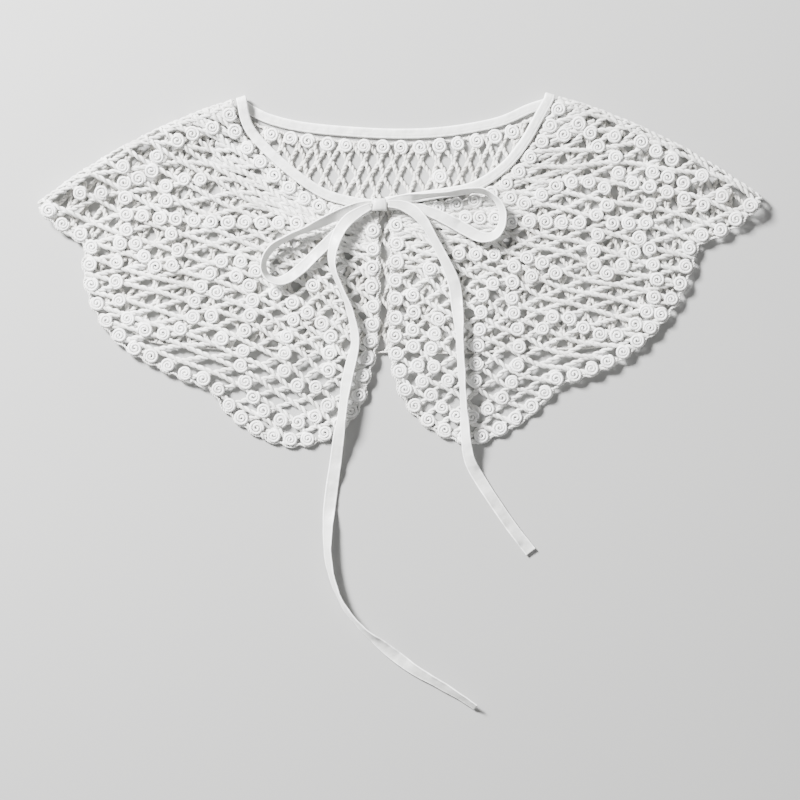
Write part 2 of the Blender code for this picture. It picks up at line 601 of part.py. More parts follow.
def back_panel(name):
    """The back, flat on the surface between the two folds, its rosettes raised where the neck shows them."""
    width = BINDING_WIDTH + SEAM
    neck_edge = back_edge(width)
    left, right = (
        [fold.at(-SEAM, width + (fold.length() - width) * index / FOLD_COLUMNS) for index in range(FOLD_COLUMNS + 1)]
        for fold in (FOLD_LEFT, FOLD_RIGHT)
    )
    hem = hem_line(left[-1], HEM_BACK + [Stretch(*right[-1], 1.0)], 1)
    outline = left + hem + right[-2::-1] + neck_edge[-2:0:-1]
    opening = smooth_line([FOLD_LEFT.at(0, 0)] + NECK_LEFT, 3)
    opening += smooth_line([FOLD_RIGHT.at(0, 0)] + NECK_RIGHT, 3)[::-1]

    def in_neck(point):
        return inside(point, opening) and distance_to_line(point, opening) > ROSETTE_RADIUS + 1.0

    rosettes = place_rosettes(outline, [edge_row(neck_edge, -1, in_neck)], ROWS_BACK, in_neck)

    def shown_first(polygon):
        return (inside(polygon[0], opening), area(polygon))

    holes = gaps(lattice_back, BACK_CELL, outline, rosettes, BACK_GAPS, lambda polygon: True, shown_first)
    return lace_panel(name, outline, holes, rosettes, [], lift_back, BACK_ROSETTE_RISE)


def tape(name, rows):
    """Flat tape along a route, turned about its length and resting on its lowest edge."""
    samples = []
    for row in smooth_line(rows, 4):
        if not samples or math.dist(row[:2], samples[-1][:2]) > TAPE_STEP * 0.5:
            samples.append(row)
    samples[-1] = tuple(rows[-1])
    stations = []
    for index, (x, y, rest, tilt, width) in enumerate(samples):
        x0, y0 = samples[max(0, index - 1)][:2]
        x1, y1 = samples[min(len(samples) - 1, index + 1)][:2]
        length = math.hypot(x1 - x0, y1 - y0)
        turn = math.radians(tilt)
        left = Vector((-(y1 - y0) / length, (x1 - x0) / length, 0))
        across = left * math.cos(turn) + Vector((0, 0, math.sin(turn)))
        face = Vector((0, 0, math.cos(turn))) - left * math.sin(turn)
        height = max(0.0, rest) + abs(math.sin(turn)) * width / 2 + math.cos(turn) * TAPE_THICKNESS / 2
        middle = Vector((x, y, height))
        across *= width / 2
        face *= TAPE_THICKNESS / 2
        corners = (across + face, -across + face, -across - face, across - face)
        stations.append([(middle + corner) * MM for corner in corners])
    return band(name, stations, SATIN)


def knot(name):
    """Knot of the bow, a rounded block that sits on both bindings."""
    bm = bmesh.new()
    bmesh.ops.create_cube(bm, size=1.0)
    bmesh.ops.scale(bm, vec=Vector(KNOT_SIZE) * MM, verts=bm.verts)
    bmesh.ops.bevel(bm, geom=list(bm.edges), offset=KNOT_ROUND * MM, segments=3, profile=0.5, affect="EDGES")
    bmesh.ops.translate(bm, vec=Vector(KNOT_CENTRE) * MM, verts=bm.verts)
    return finish(name, bm, SATIN, smooth=True)


def finish(name, bm, finish_with, smooth):
    """Turn a bmesh into a named object with its own material."""
    mesh = bpy.data.meshes.new(name)
    bm.to_mesh(mesh)
    bm.free()
    if smooth:
        mesh.shade_smooth()
    material = bpy.data.materials.new(f"{finish_with.name} {name}")
    material.use_nodes = True
    shader = material.node_tree.nodes["Principled BSDF"]
    shader.inputs["Base Color"].default_value = finish_with.colour
    shader.inputs["Roughness"].default_value = finish_with.roughness
    mesh.materials.append(material)
    part = bpy.data.objects.new(name, mesh)
    bpy.context.scene.collection.objects.link(part)
    return part


def main():
    """Build the collar from an empty scene."""
    for existing in list(bpy.data.objects):
        bpy.data.objects.remove(existing)
    back_panel("lace_back")
    front_panel("lace_front_left", FOLD_LEFT, NECK_LEFT, HEM_LEFT, ROWS_LEFT)
    front_panel("lace_front_right", FOLD_RIGHT, NECK_RIGHT, HEM_RIGHT, ROWS_RIGHT)
    back_binding("binding_back")
    front_binding("binding_front_left", FOLD_LEFT, NECK_LEFT)
    front_binding("binding_front_right", FOLD_RIGHT, NECK_RIGHT)
    knot("bow_knot")
    tape("bow_loop_left", LOOP_LEFT)
    tape("bow_loop_right", LOOP_RIGHT)
    tape("tie_tail_left", TAIL_LEFT)
    tape("tie_tail_right", TAIL_RIGHT)


main()
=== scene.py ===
"""Visual model of the rosette lace collar, laid flat and seen from straight above.

The lace is worked out in each panel's flat cut, as crossed two-ply cords, coiled rosettes and a hem cord, and every
point is then lifted to where the panel lies. Lengths in the tables are in millimetres, angles in degrees.
"""

import logging
import math
from collections.abc import Callable
from dataclasses import dataclass
from enum import Enum

import bmesh
import bpy
import numpy as np
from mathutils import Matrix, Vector


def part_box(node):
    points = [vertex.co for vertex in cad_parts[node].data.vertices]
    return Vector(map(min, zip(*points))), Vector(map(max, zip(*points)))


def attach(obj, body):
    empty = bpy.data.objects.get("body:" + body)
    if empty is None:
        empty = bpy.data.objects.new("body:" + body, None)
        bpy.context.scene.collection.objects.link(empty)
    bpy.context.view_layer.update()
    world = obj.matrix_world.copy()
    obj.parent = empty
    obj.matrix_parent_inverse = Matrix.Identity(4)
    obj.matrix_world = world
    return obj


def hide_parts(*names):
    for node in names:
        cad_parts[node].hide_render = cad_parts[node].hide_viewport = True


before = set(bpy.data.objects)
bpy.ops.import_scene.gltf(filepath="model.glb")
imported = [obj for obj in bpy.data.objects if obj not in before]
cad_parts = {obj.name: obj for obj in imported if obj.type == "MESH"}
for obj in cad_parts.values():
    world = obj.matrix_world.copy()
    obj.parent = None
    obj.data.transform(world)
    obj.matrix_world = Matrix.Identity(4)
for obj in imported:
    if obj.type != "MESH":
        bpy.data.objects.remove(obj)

log = logging.getLogger("collar")

MM = 0.001
ROOT_BODY = "root"
# Mesh layer that says where the painted highlight along the edges goes
EDGE_HIGHLIGHT_LAYER = "edge"
SEED = 41

# Cloth
WALL = 1.6
SEAM = 0.3
LAYER_UNDER = WALL + SEAM
FOLD_RADIUS = 2.7
FOLD_CENTRE = FOLD_RADIUS + WALL / 2
FOLD_REACH = FOLD_RADIUS + WALL / 2
FOLD_FALL = 25.0
WRAP = math.pi * FOLD_RADIUS
TIP_TAPER = 0.25
DROP_TOP = -62.0
DROP_FOOT = -84.0
EDGE_STEP = 9.0
FOLD_COLUMNS = 14
FOLD_STEPS = 8

# Binding, and its section: share of the width, level, and how far it gets the painted highlight along its edges
BINDING_WIDTH = 6.0
BINDING_RISE = 0.5
BINDING_SPANS = 8
BINDING_PROFILE = (
    (0.0, -0.7, 0.6), (0.0, 0.0, 1.0), (0.025, 0.5, 1.0), (0.07, 0.85, 1.0), (0.16, 1.0, 0.3), (0.35, 0.9, 0.0),
    (0.6, 0.88, 0.0), (0.76, 0.96, 0.0), (0.81, 0.8, 0.0), (0.86, 1.0, 0.2), (0.94, 0.92, 0.9), (0.98, 0.5, 1.0),
    (1.0, 0.0, 1.0), (1.0, -0.7, 0.6), (0.95, -1.0, 0.0), (0.05, -1.0, 0.0),
)

# The tape's section in halves of its width and thickness, and how far each point gets the painted highlight along
# its edges
TAPE_PROFILE = (
    (-1.0, 0.0, 1.0), (-0.98, 0.6, 1.0), (-0.93, 1.0, 1.0), (-0.84, 1.0, 0.8), (-0.76, 0.8, 0.0), (-0.4, 0.76, 0.0),
    (0.0, 0.74, 0.0), (0.4, 0.76, 0.0), (0.76, 0.8, 0.0), (0.84, 1.0, 0.8), (0.93, 1.0, 1.0), (0.98, 0.6, 1.0),
    (1.0, 0.0, 1.0), (0.98, -0.6, 1.0), (0.88, -1.0, 1.0), (0.4, -0.86, 0.0), (0.0, -0.84, 0.0), (-0.4, -0.86, 0.0),
    (-0.88, -1.0, 1.0), (-0.98, -0.6, 1.0),
)

# Rosettes
ROSETTE_RADIUS = 4.3
ROSETTE_SPACING = 10.4
ROSETTE_CLEARANCE = 8.8
ROSETTE_INSET = 5.0
ROSETTE_LEEWAY = 0.4
BACK_ROSETTE = (24, 56)
BACK_COIL_LEVEL = 0.95
FRONT_COIL_LEVEL = 1.1
CORD_HIDDEN = 2.6

# Lattice of cords: cells, how the cords cross, and how each place sways by its place along and across
FRONT_CELL = (16.0, 9.6)
BACK_CELL = (18.4, 8.6)
OVER_LEVEL = 0.25
UNDER_LEVEL = -0.15
SHORTEST_RUN = 3
LATTICE_COLUMNS = 24
LATTICE_STEP = 0.125
LATTICE_MIDDLE = 110.0
LATTICE_WAVE = 1.1
FRONT_SWAY_X = (0.13, 0.21)
FRONT_SWAY_Y = (0.11, -0.17)
BACK_SWAY_X = (0.19, 0.13)
BACK_LATTICE_TOP = 84.0
BACK_LATTICE_FAN = 0.002
EDGE_CLEARANCE = 1.6

# Dense lace beside the neck
DENSE_WIDTH = 23.0
DENSE_RAGGED = 0.3
DENSE_ALONG = (0.0, 140.0, 2.0)
DENSE_ROWS = (-20.0, 110.0, 3.1)
DENSE_WAVE = 1.5
DENSE_LEVEL = -0.25

# Cords that close the edge of the shoulder fold
FOLD_CORDS = (-0.8, 2.8, 6.2)
FOLD_CORD_POINTS = 90
FOLD_CORD_START = 3.0
FOLD_CORD_WAVE = 0.7
FOLD_CORD_LEVEL = 0.1

# Cord under the back's binding, and hem cord
BAND_DEPTH = 2.3
BAND_SWING = 0.9
BAND_SCALLOP = 5.2
BAND_LEVEL = 0.1
HEM_DEPTH = 0.55
HEM_SWING = 1.5
HEM_NEAR = 5.1
HEM_EASE = 1.8
HEM_LEVEL = 0.2


@dataclass(frozen=True)
class Cord:
    """A two-ply cord: how thick its plies are, how far they lie from its middle and how it is twisted."""

    ply: float
    spread: float
    pitch: float
    step: float
    sides: int
    flatten: float


@dataclass(frozen=True)
class Coil:
    """A rosette's cord.

    Attributes:
        points: rings along it.
        sides: corners round it.
        flatten: its height for its width.
        reach: its first turn's radius.
        winding: how much nearer its end lies to the middle.
        rim: the share of it that keeps the first turn's radius.
        ease: how evenly it winds in.
        turns: the fewest and the most turns.
        sizes: the smallest and the largest scale.
        rise: how much higher its end lies.
        ripple: how much its height wavers.
        shares: places along it, for its thickness.
        radii: its radius there.
    """

    points: int = 37
    sides: int = 6
    flatten: float = 0.85
    reach: float = 3.78
    winding: float = 3.4
    rim: float = 0.2
    ease: float = 0.95
    turns: tuple[float, float] = (2.2, 2.45)
    sizes: tuple[float, float] = (0.94, 1.04)
    rise: float = 0.32
    ripple: float = 0.12
    shares: tuple[float, ...] = (0.0, 0.04, 0.95, 1.0)
    radii: tuple[float, ...] = (0.5, 0.84, 0.76, 0.6)


LACE_CORD = Cord(ply=0.88, spread=0.76, pitch=9.5, step=0.9, sides=6, flatten=0.66)
DENSE_CORD = Cord(ply=0.88, spread=0.62, pitch=9.0, step=0.9, sides=6, flatten=0.5)
HEM_CORD = Cord(ply=0.46, spread=0.38, pitch=3.4, step=0.6, sides=5, flatten=0.85)
BACK_CORD = Cord(ply=0.92, spread=0.62, pitch=6.0, step=1.2, sides=5, flatten=0.6)

NECK_LEFT = [(-87.0, 85.5), (-69.0, 66.3), (-48.0, 50.6), (-33.0, 45.0), (-12.4, 41.7)]
NECK_RIGHT = [(81.0, 94.0), (72.0, 78.3), (60.0, 63.8), (42.0, 52.6), (18.0, 48.0), (-9.0, 43.8)]
NECK_BACK = [(-88.6, 99.2), (-78.0, 93.9), (-60.0, 89.4), (-34.8, 86.6), (-3.0, 85.0), (26.4, 86.2), (57.0, 91.6),
             (75.6, 99.4)]

# Ends of a hem's stretches and how far each stands out
HEM_LEFT = [(-189.6, 14.7, 2.2), (-151.2, -56.1, 14.2), (-114.6, -71.7, 1.2), (-66.0, -106.5, 7.2),
            (-17.4, -64.5, 13.2), (-11.4, -24.3, 1.6), (-11.4, 35.2, 0.0)]
HEM_RIGHT = [(179.4, 14.7, 4.2), (96.0, -69.3, 18.6), (45.0, -105.3, 5.4), (-4.2, -65.7, 10.2), (-7.8, -28.5, 1.2),
             (-6.6, 38.0, 0.0)]
HEM_BACK = [(-184.8, 11.1, 1.0), (-150.0, -44.7, 10.0), (-78.0, -48.6, 2.0), (0.0, -50.4, 2.0), (78.0, -48.6, 2.0),
            (138.0, -45.0, 2.0), (174.0, 11.1, 6.0)]

# Rosettes inside each front: rows by both ends and how far they bow, and single ones by their centre
ROWS_LEFT = [
    (-167, 16, -163, -29, 5), (-162, -30, -131, -35, 5), (-158, 16, -146, 2, 1), (-136, 3), (-166, 71, -163, 24, 0),
    (-154, 32, -62, 28, 1), (-140, 50, -140, 41.1, 0), (-136.3, 21.5, -133, 12, 0), (-129, 54, -119, 54, 0),
    (-148.6, 59.3, -156.1, 54.4, 0), (-145, 68), (-140, 81, -133, 77, 0), (-124, 81), (-118, 90, -112, 85, 0),
    (-203, 45, -178, 46, 0), (-124, -28, -107, 5, -4), (-106, 6, -86, -1, -3), (-98, -4, -94, -48, 17),
    (-95, -57, -82, -84, 2), (-81, -85, -43, -81, 8), (-90, -9, -93, -36, -3), (-74, -14, -47, -32, -1),
    (-41, -40, -43, -60, 0), (-64, -30, -69, -60, 2), (-61, -69, -50, -70, 0), (-52, -9),
]
ROWS_RIGHT = [
    (67, 29, 107, 28.5, 0), (117.5, 32.6), (127, 28.2, 147, 28, 0), (35, 10, 56, 9, 0), (68, 2, 70, -35, 2),
    (77.3, -39.6, 91, -28, 2), (101, -29, 130, -39, 3), (132, -38, 154, -6, 5.3), (76, 7, 93, -2, -2), (79, -4),
    (49, -15, 45, -66, 0), (56, -8), (116, 12, 116, 3, 0), (124, -2, 133, 3, 0), (118, 21),
    (143, 19, 149.8, 12.6, 0), (151.4, 3), (140, 10.2), (8, -15, 8, -46, 0), (18, 1), (23, -29, 19, -47, 0),
    (11, -57, 34, -87, 5), (20, -58, 29, -66, 0), (43, -88, 71, -46, 9), (66, 43.4, 74.4, 39.6, 0),
    (85, 45, 122, 49, -6), (124, 39), (131, 58, 139, 52, 0), (149, 50, 181, 39, 0), (192, 44), (149, 39),
    (151.2, 58.7, 169, 52, 0), (180, 56), (98, 81), (106.5, 87, 118.5, 73.5, -2), (128, 80, 129, 67, 0),
    (144, 76, 162, 66, 0), (39, 31.5, 57.2, 31, 0),
]

# How the cords' rows rise towards the tip, by their height at the middle of a front
SLOPE_HEIGHTS = (-100, -40, 0, 30, 60, 90)
SLOPE_RISES = (0.25, 0.08, 0.0, 0.08, 0.32, 0.50)

# How the cells lengthen from the centre front towards the tip
REACH_PLACES = (-300, 60, 80, 95, 110, 300)
REACH_XS = (-300, 60, 84, 110, 143, 561)

# Tape routes: x, y, height under the lowest edge, tilt that lifts the left edge, width
LOOP_LEFT = [
    (-17.0, 39.6, 4.9, -6, 3.4), (-22.5, 38.5, 4.9, -14, 5.0), (-30.0, 35.8, 5.0, -24, 6.4),
    (-39.7, 31.4, 5.0, -38, 7.0), (-51.0, 26.0, 5.0, -54, 7.0), (-59.2, 22.6, 5.0, -66, 7.0),
    (-67.5, 18.7, 5.0, -70, 7.0), (-75.2, 13.9, 5.0, -68, 7.0), (-80.2, 7.6, 5.0, -64, 7.0),
    (-81.4, 1.0, 5.0, -60, 7.0), (-78.6, -4.6, 5.0, -54, 7.0), (-72.6, -6.8, 5.0, -46, 7.0),
    (-65.8, -4.4, 5.0, -32, 7.0), (-58.6, 1.2, 5.0, -18, 7.0), (-51.6, 8.0, 5.0, -12, 6.8),
    (-45.0, 14.6, 5.0, -7, 6.4), (-39.6, 20.4, 5.0, -4, 5.8), (-33.6, 26.0, 5.0, -3, 5.2),
    (-28.0, 30.4, 5.0, -3, 4.4), (-22.4, 33.6, 5.0, -3, 3.8), (-17.0, 35.8, 5.0, -3, 3.0),
]
LOOP_RIGHT = [
    (-7.0, 41.0, 4.5, 4, 3.2), (0.0, 42.4, 4.5, 20, 4.6), (7.5, 43.2, 4.7, 48, 6.0), (19.4, 44.4, 5.0, 70, 7.0),
    (31.8, 45.6, 5.0, 72, 7.0), (41.8, 47.0, 5.0, 70, 7.0), (49.2, 46.8, 5.0, 68, 7.0),
    (55.2, 43.8, 5.0, 66, 7.0), (59.8, 38.4, 5.0, 62, 7.0), (61.3, 31.4, 5.0, 58, 7.0),
    (59.8, 24.6, 5.0, 54, 7.0), (55.4, 20.0, 5.0, 42, 7.0), (48.6, 19.4, 5.0, 20, 7.0),
    (41.0, 23.0, 5.0, 4, 7.0), (32.0, 28.0, 5.0, 0, 7.0), (22.0, 33.0, 5.0, 0, 6.4), (12.0, 36.6, 5.0, 0, 5.2),
    (2.5, 37.6, 4.8, 0, 3.8), (-7.0, 37.2, 4.8, 0, 3.0),
]
TAIL_LEFT = [
    (-17.6, 37.8, 7.3, 0, 4.0), (-24.0, 34.6, 7.3, 3, 5.6), (-31.0, 29.6, 7.3, 6, 7.0),
    (-36.2, 22.6, 7.4, 10, 7.0), (-39.6, 13.5, 7.4, 34, 7.0), (-40.5, 4.5, 6.0, 60, 7.0),
    (-38.2, -4.0, 5.2, 66, 7.0), (-35.0, -11.4, 5.0, 68, 7.0), (-31.6, -19.2, 5.0, 66, 7.0),
    (-28.8, -28.5, 5.0, 60, 7.0), (-27.0, -38.0, 5.0, 48, 7.0), (-26.9, -46.0, 5.0, 38, 7.0),
    (-29.4, -56.1, 5.0, 30, 7.0), (-32.4, -70.0, 4.7, 34, 7.0), (-34.6, -86.7, 3.6, 40, 7.0),
    (-36.8, -101.1, 3.2, 20, 7.0), (-38.4, -113.5, 1.2, 8, 7.2), (-40.8, -129.9, 0.1, 0, 7.4),
    (-42.6, -144.9, 0.0, 12, 7.2), (-43.4, -158.7, 0.0, 35, 7.0), (-43.0, -172.0, 0.0, 58, 7.0),
    (-39.6, -187.5, 0.0, 62, 7.0), (-33.0, -201.9, 0.0, 70, 7.0), (-23.0, -214.0, 0.0, 66, 7.0),
    (-13.6, -222.2, 0.0, 35, 7.0), (-2.4, -231.4, 0.0, 6, 7.0), (9.0, -239.6, 0.0, 12, 6.6),
    (23.0, -247.6, 0.0, 30, 6.0), (36.0, -255.4, 0.0, 45, 5.4), (45.6, -261.9, 0.0, 40, 5.0),
]
TAIL_RIGHT = [
    (-7.0, 39.2, 7.2, 0, 4.0), (0.0, 38.6, 7.2, 4, 5.6), (7.0, 35.6, 6.9, 12, 7.0), (13.2, 29.8, 6.4, 30, 7.0),
    (17.9, 22.5, 5.6, 48, 7.0), (22.3, 14.0, 5.0, 50, 7.0), (26.9, 5.1, 5.0, 36, 7.0),
    (30.6, -3.4, 5.0, 16, 7.2), (32.8, -10.3, 5.0, 4, 7.4), (33.8, -18.9, 5.0, 12, 7.2),
    (35.2, -33.0, 5.0, 40, 7.0), (36.0, -49.5, 5.0, 58, 7.0), (37.2, -68.1, 4.8, 60, 7.0),
    (38.4, -86.7, 3.6, 55, 7.0), (39.4, -101.0, 3.2, 40, 7.0), (42.0, -114.5, 1.2, 15, 7.0),
    (49.2, -127.5, 0.1, 0, 7.0), (58.2, -141.3, 0.0, -20, 7.0), (67.6, -154.8, 0.0, -12, 7.0),
    (78.6, -168.9, 0.0, 0, 7.0),
]


class Slot(Enum):
    """Names of the material slots."""

    LACE = "lace"
    BINDING = "binding"
    TAPE = "tape"


@dataclass(frozen=True)
class Finish:
    """A cloth's look.

    Attributes:
        name: the material's name.
        colour: its lit colour.
        shade: the colour of its hollows and worn places.
        roughness: how dull it is.
        sheen: how much its fibres catch light at a slant.
        weave: threads across a metre of it.
        relief: the height of its threads, in metres.
        uneven: the size of its cloudy patches, in waves a metre.
        edge: the colour of the painted highlight along its edges.
        crease: the height of its soft creases, in metres.
    """

    name: str
    colour: tuple[float, float, float]
    shade: tuple[float, float, float]
    roughness: float
    sheen: float
    weave: float
    relief: float
    uneven: float
    edge: tuple[float, float, float]
    crease: float


CREASES_PER_PATCH = 6.0
BUMP_STRENGTH = 0.8
SHADE_PLACE = 0.32
COLOUR_PLACE = 0.62
FIBRE_IOR = 1.45
SHEEN_ROUGHNESS = 0.5
FLOOR_COLOUR = (0.38, 0.38, 0.375)
FLOOR_ROUGHNESS = 0.95

# The edge colour of each finish is a painted highlight along its edges; only the bindings' and tapes' meshes mark
# where it goes
LACE = Finish("cotton lace cord", (0.80, 0.80, 0.78), (0.60, 0.59, 0.57), 0.86, 0.35, 900.0, 0.00018, 60.0,
              (0.9, 0.9, 0.88), 0.0003)
# Painted shade: the lace colour made darker for the close-packed cords beside the neck and along the shoulder fold
SHADED_DENSE_LACE = Finish("dense lace beside the neck, painted shade", (0.70, 0.70, 0.685), (0.54, 0.535, 0.515), 0.9, 0.4, 900.0,
                    0.0002, 45.0, (0.84, 0.84, 0.82), 0.0004)
ROSE = Finish("coiled rosette cord", (0.92, 0.92, 0.91), (0.78, 0.77, 0.755), 0.8, 0.35, 1100.0, 0.00015, 60.0,
              (0.93, 0.93, 0.92), 0.0003)
BACK_LACE = Finish("cotton lace cord of the back", (0.74, 0.73, 0.70), (0.54, 0.525, 0.495), 0.88, 0.3, 900.0,
                   0.00018, 60.0, (0.84, 0.84, 0.82), 0.0003)
POPLIN = Finish("cotton poplin binding", (0.77, 0.77, 0.755), (0.66, 0.66, 0.64), 0.62, 0.25, 1700.0, 0.00005, 25.0,
                (0.95, 0.95, 0.94), 0.0012)
SATIN = Finish("satin tape", (0.68, 0.68, 0.665), (0.57, 0.57, 0.55), 0.38, 0.3, 2200.0, 0.00003, 25.0,
               (0.96, 0.96, 0.95), 0.0007)


class Material:
    """One procedural material, and the nodes that it is made from."""

    def __init__(self, name: str, roughness: float) -> None:
        """Start a plain material.

        Args:
            name: its name.
            roughness: how dull it is.
        """
        self.made = bpy.data.materials.new(name)
        self.made.use_nodes = True
        self.tree = self.made.node_tree
        self.shader = self.tree.nodes["Principled BSDF"]
        self.shader.inputs["Roughness"].default_value = roughness

    def noise(self, scale: float, detail: float) -> bpy.types.NodeSocket:
        """Add noise on object coordinates.

        Args:
            scale: its waves a metre.
            detail: its octaves.

        Returns:
            Its factor.
        """
        coordinates = self.tree.nodes.new("ShaderNodeTexCoord")
        node = self.tree.nodes.new("ShaderNodeTexNoise")
        node.inputs["Scale"].default_value = scale
        node.inputs["Detail"].default_value = detail
        self.tree.links.new(coordinates.outputs["Object"], node.inputs["Vector"])
        return node.outputs["Fac"]

    def bump(self, height: bpy.types.NodeSocket, distance: float) -> bpy.types.Node:
        """Add a bump.

        Args:
            height: where its height comes from.
            distance: its full height, in metres.

        Returns:
            The node.
        """
        node = self.tree.nodes.new("ShaderNodeBump")
        node.inputs["Strength"].default_value = BUMP_STRENGTH
        node.inputs["Distance"].default_value = distance
        self.tree.links.new(height, node.inputs["Height"])
        return node

    @classmethod
    def cloth(cls, finish: Finish) -> bpy.types.Material:
        """Make a cloth with cloudy patches, a painted highlight along its edges, creases and threads.

        Args:
            finish: the cloth's look.

        Returns:
            The material.
        """
        material = cls(finish.name, finish.roughness)
        nodes, link = material.tree.nodes, material.tree.links.new
        shader = material.shader
        ramp = nodes.new("ShaderNodeValToRGB")
        stops = ((SHADE_PLACE, finish.shade), (COLOUR_PLACE, finish.colour))
        for element, (place, colour) in zip(ramp.color_ramp.elements, stops):
            element.position = place
            element.color = (*colour, 1.0)
        link(material.noise(finish.uneven, 4.0), ramp.inputs["Fac"])
        # Painted highlight: the edge colour is mixed in where the mesh marks an edge
        edges = nodes.new("ShaderNodeAttribute")
        edges.attribute_name = EDGE_HIGHLIGHT_LAYER
        edge_highlight = nodes.new("ShaderNodeMix")
        edge_highlight.data_type = "RGBA"
        edge_highlight.inputs["B"].default_value = (*finish.edge, 1.0)
        link(edges.outputs["Fac"], edge_highlight.inputs["Factor"])
        link(ramp.outputs["Color"], edge_highlight.inputs["A"])
        link(edge_highlight.outputs["Result"], shader.inputs["Base Color"])
        creases = material.bump(material.noise(finish.uneven * CREASES_PER_PATCH, 2.0), finish.crease)
        threads = material.bump(material.noise(finish.weave, 3.0), finish.relief)
        link(creases.outputs["Normal"], threads.inputs["Normal"])
        link(threads.outputs["Normal"], shader.inputs["Normal"])
        shader.inputs["Sheen Weight"].default_value = finish.sheen
        shader.inputs["Sheen Roughness"].default_value = SHEEN_ROUGHNESS
        shader.inputs["IOR"].default_value = FIBRE_IOR
        return material.made

    @classmethod
    def floor(cls) -> bpy.types.Material:
        """Make the plain pale floor's material."""
        material = cls("plain pale floor", FLOOR_ROUGHNESS)
        material.shader.inputs["Base Color"].default_value = (*FLOOR_COLOUR, 1.0)
        return material.made


def smoothstep(value: np.ndarray) -> np.ndarray:
    """Ease from 0 to 1, and stay there outside."""
    value = np.clip(value, 0.0, 1.0)
    return value * value * (3.0 - 2.0 * value)


def unit_way(line: np.ndarray) -> np.ndarray:
    """Find a line's unit direction in the plane at each of its rows."""
    way = np.gradient(line[:, :2], axis=0)
    return way / np.maximum(np.hypot(*way.T), 1e-9)[:, None]


def travelled(line: np.ndarray) -> np.ndarray:
    """Measure how far each row of a line lies from its start, along it in the plane."""
    return np.concatenate([[0.0], np.cumsum(np.hypot(*np.diff(line[:, :2], axis=0).T))])


def bowed(start: tuple, end: tuple, bulge: float, step: float) -> list[tuple[float, float]]:
    """Follow an arc.

    Args:
        start: where it starts; that point isn't returned.
        end: where it ends.
        bulge: how far its middle stands out to the right of the way.
        step: the rough distance between points.

    Returns:
        The points after the start.
    """
    chord = math.dist(start, end)
    count = max(1, round(chord / step))
    along = ((end[0] - start[0]) / chord, (end[1] - start[1]) / chord)
    out = (along[1], -along[0])
    points = []
    for index in range(1, count + 1):
        travel = index / count - 0.5
        offset = 0.0
        if bulge:
            radius = (chord * chord / 4 + bulge * bulge) / (2 * abs(bulge))
            half_angle = math.asin(chord / 2 / radius)
            angle = 2 * travel * half_angle
            offset = math.copysign(radius * math.cos(angle) - radius + abs(bulge), bulge)
            travel = radius * math.sin(angle) / chord
        points.append((
            (start[0] + end[0]) / 2 + along[0] * travel * chord + out[0] * offset,
            (start[1] + end[1]) / 2 + along[1] * travel * chord + out[1] * offset,
        ))
    return points


def smooth_line(points: list[tuple], per_span: int) -> list[tuple]:
    """Sample the smooth curve through rows of numbers.

    Args:
        points: the rows, which may hold heights and angles too.
        per_span: samples between two rows.

    Returns:
        The sampled rows.
    """
    line = []
    for index in range(len(points) - 1):
        before = points[max(0, index - 1)]
        first, second = points[index], points[index + 1]
        after = points[min(len(points) - 1, index + 2)]
        for part in range(per_span):
            t = part / per_span
            line.append(tuple(
                0.5 * (2 * b + (c - a) * t + (2 * a - 5 * b + 4 * c - d) * t ** 2
                       + (3 * b - a - 3 * c + d) * t ** 3)
                for a, b, c, d in zip(before, first, second, after)
            ))
    line.append(tuple(points[-1]))
    return line


def offset_line(points: list[tuple], distance: float) -> list[tuple[float, float]]:
    """Move an open line to the right of its way.

    Args:
        points: the line.
        distance: how far.

    Returns:
        The moved line.
    """
    moved = []
    for index, (x, y) in enumerate(points):
        x0, y0 = points[max(0, index - 1)]
        x1, y1 = points[min(len(points) - 1, index + 1)]
        length = math.hypot(x1 - x0, y1 - y0)
        moved.append((x + (y1 - y0) / length * distance, y - (x1 - x0) / length * distance))
    return moved


def inside(points: np.ndarray, polygon: list[tuple]) -> np.ndarray:
    """Tell which points lie in a polygon.

    Args:
        points: rows of x and y.
        polygon: its corners.

    Returns:
        One truth value for each point.
    """
    x, y = points[:, 0], points[:, 1]
    found = np.zeros(len(points), bool)
    for (x0, y0), (x1, y1) in zip(polygon, polygon[1:] + polygon[:1]):
        if y0 != y1:
            crosses = ((y0 > y) != (y1 > y)) & (x < x0 + (y - y0) / (y1 - y0) * (x1 - x0))
            found ^= crosses
    return found


def distance_to_line(points: np.ndarray, line: list[tuple]) -> np.ndarray:
    """Measure how far points lie from a line.

    Args:
        points: rows of x and y.
        line: the line's points.

    Returns:
        The distances.
    """
    best = np.full(len(points), np.inf)
    for (x0, y0), (x1, y1) in zip(line, line[1:]):
        dx, dy = x1 - x0, y1 - y0
        share = np.clip(((points[:, 0] - x0) * dx + (points[:, 1] - y0) * dy) / max(dx * dx + dy * dy, 1e-9), 0, 1)
        best = np.minimum(best, np.hypot(points[:, 0] - x0 - share * dx, points[:, 1] - y0 - share * dy))
    return best


def resample(line: np.ndarray, step: float) -> np.ndarray:
    """Space a line's points evenly.

    Args:
        line: rows of numbers, x and y first.
        step: the rough distance between points.

    Returns:
        The evenly spaced rows, with both ends kept.
    """
    lengths = travelled(line)
    count = max(2, round(lengths[-1] / step) + 1)
    at = np.linspace(0.0, lengths[-1], count)
    return np.stack([np.interp(at, lengths, column) for column in line.T], axis=1)


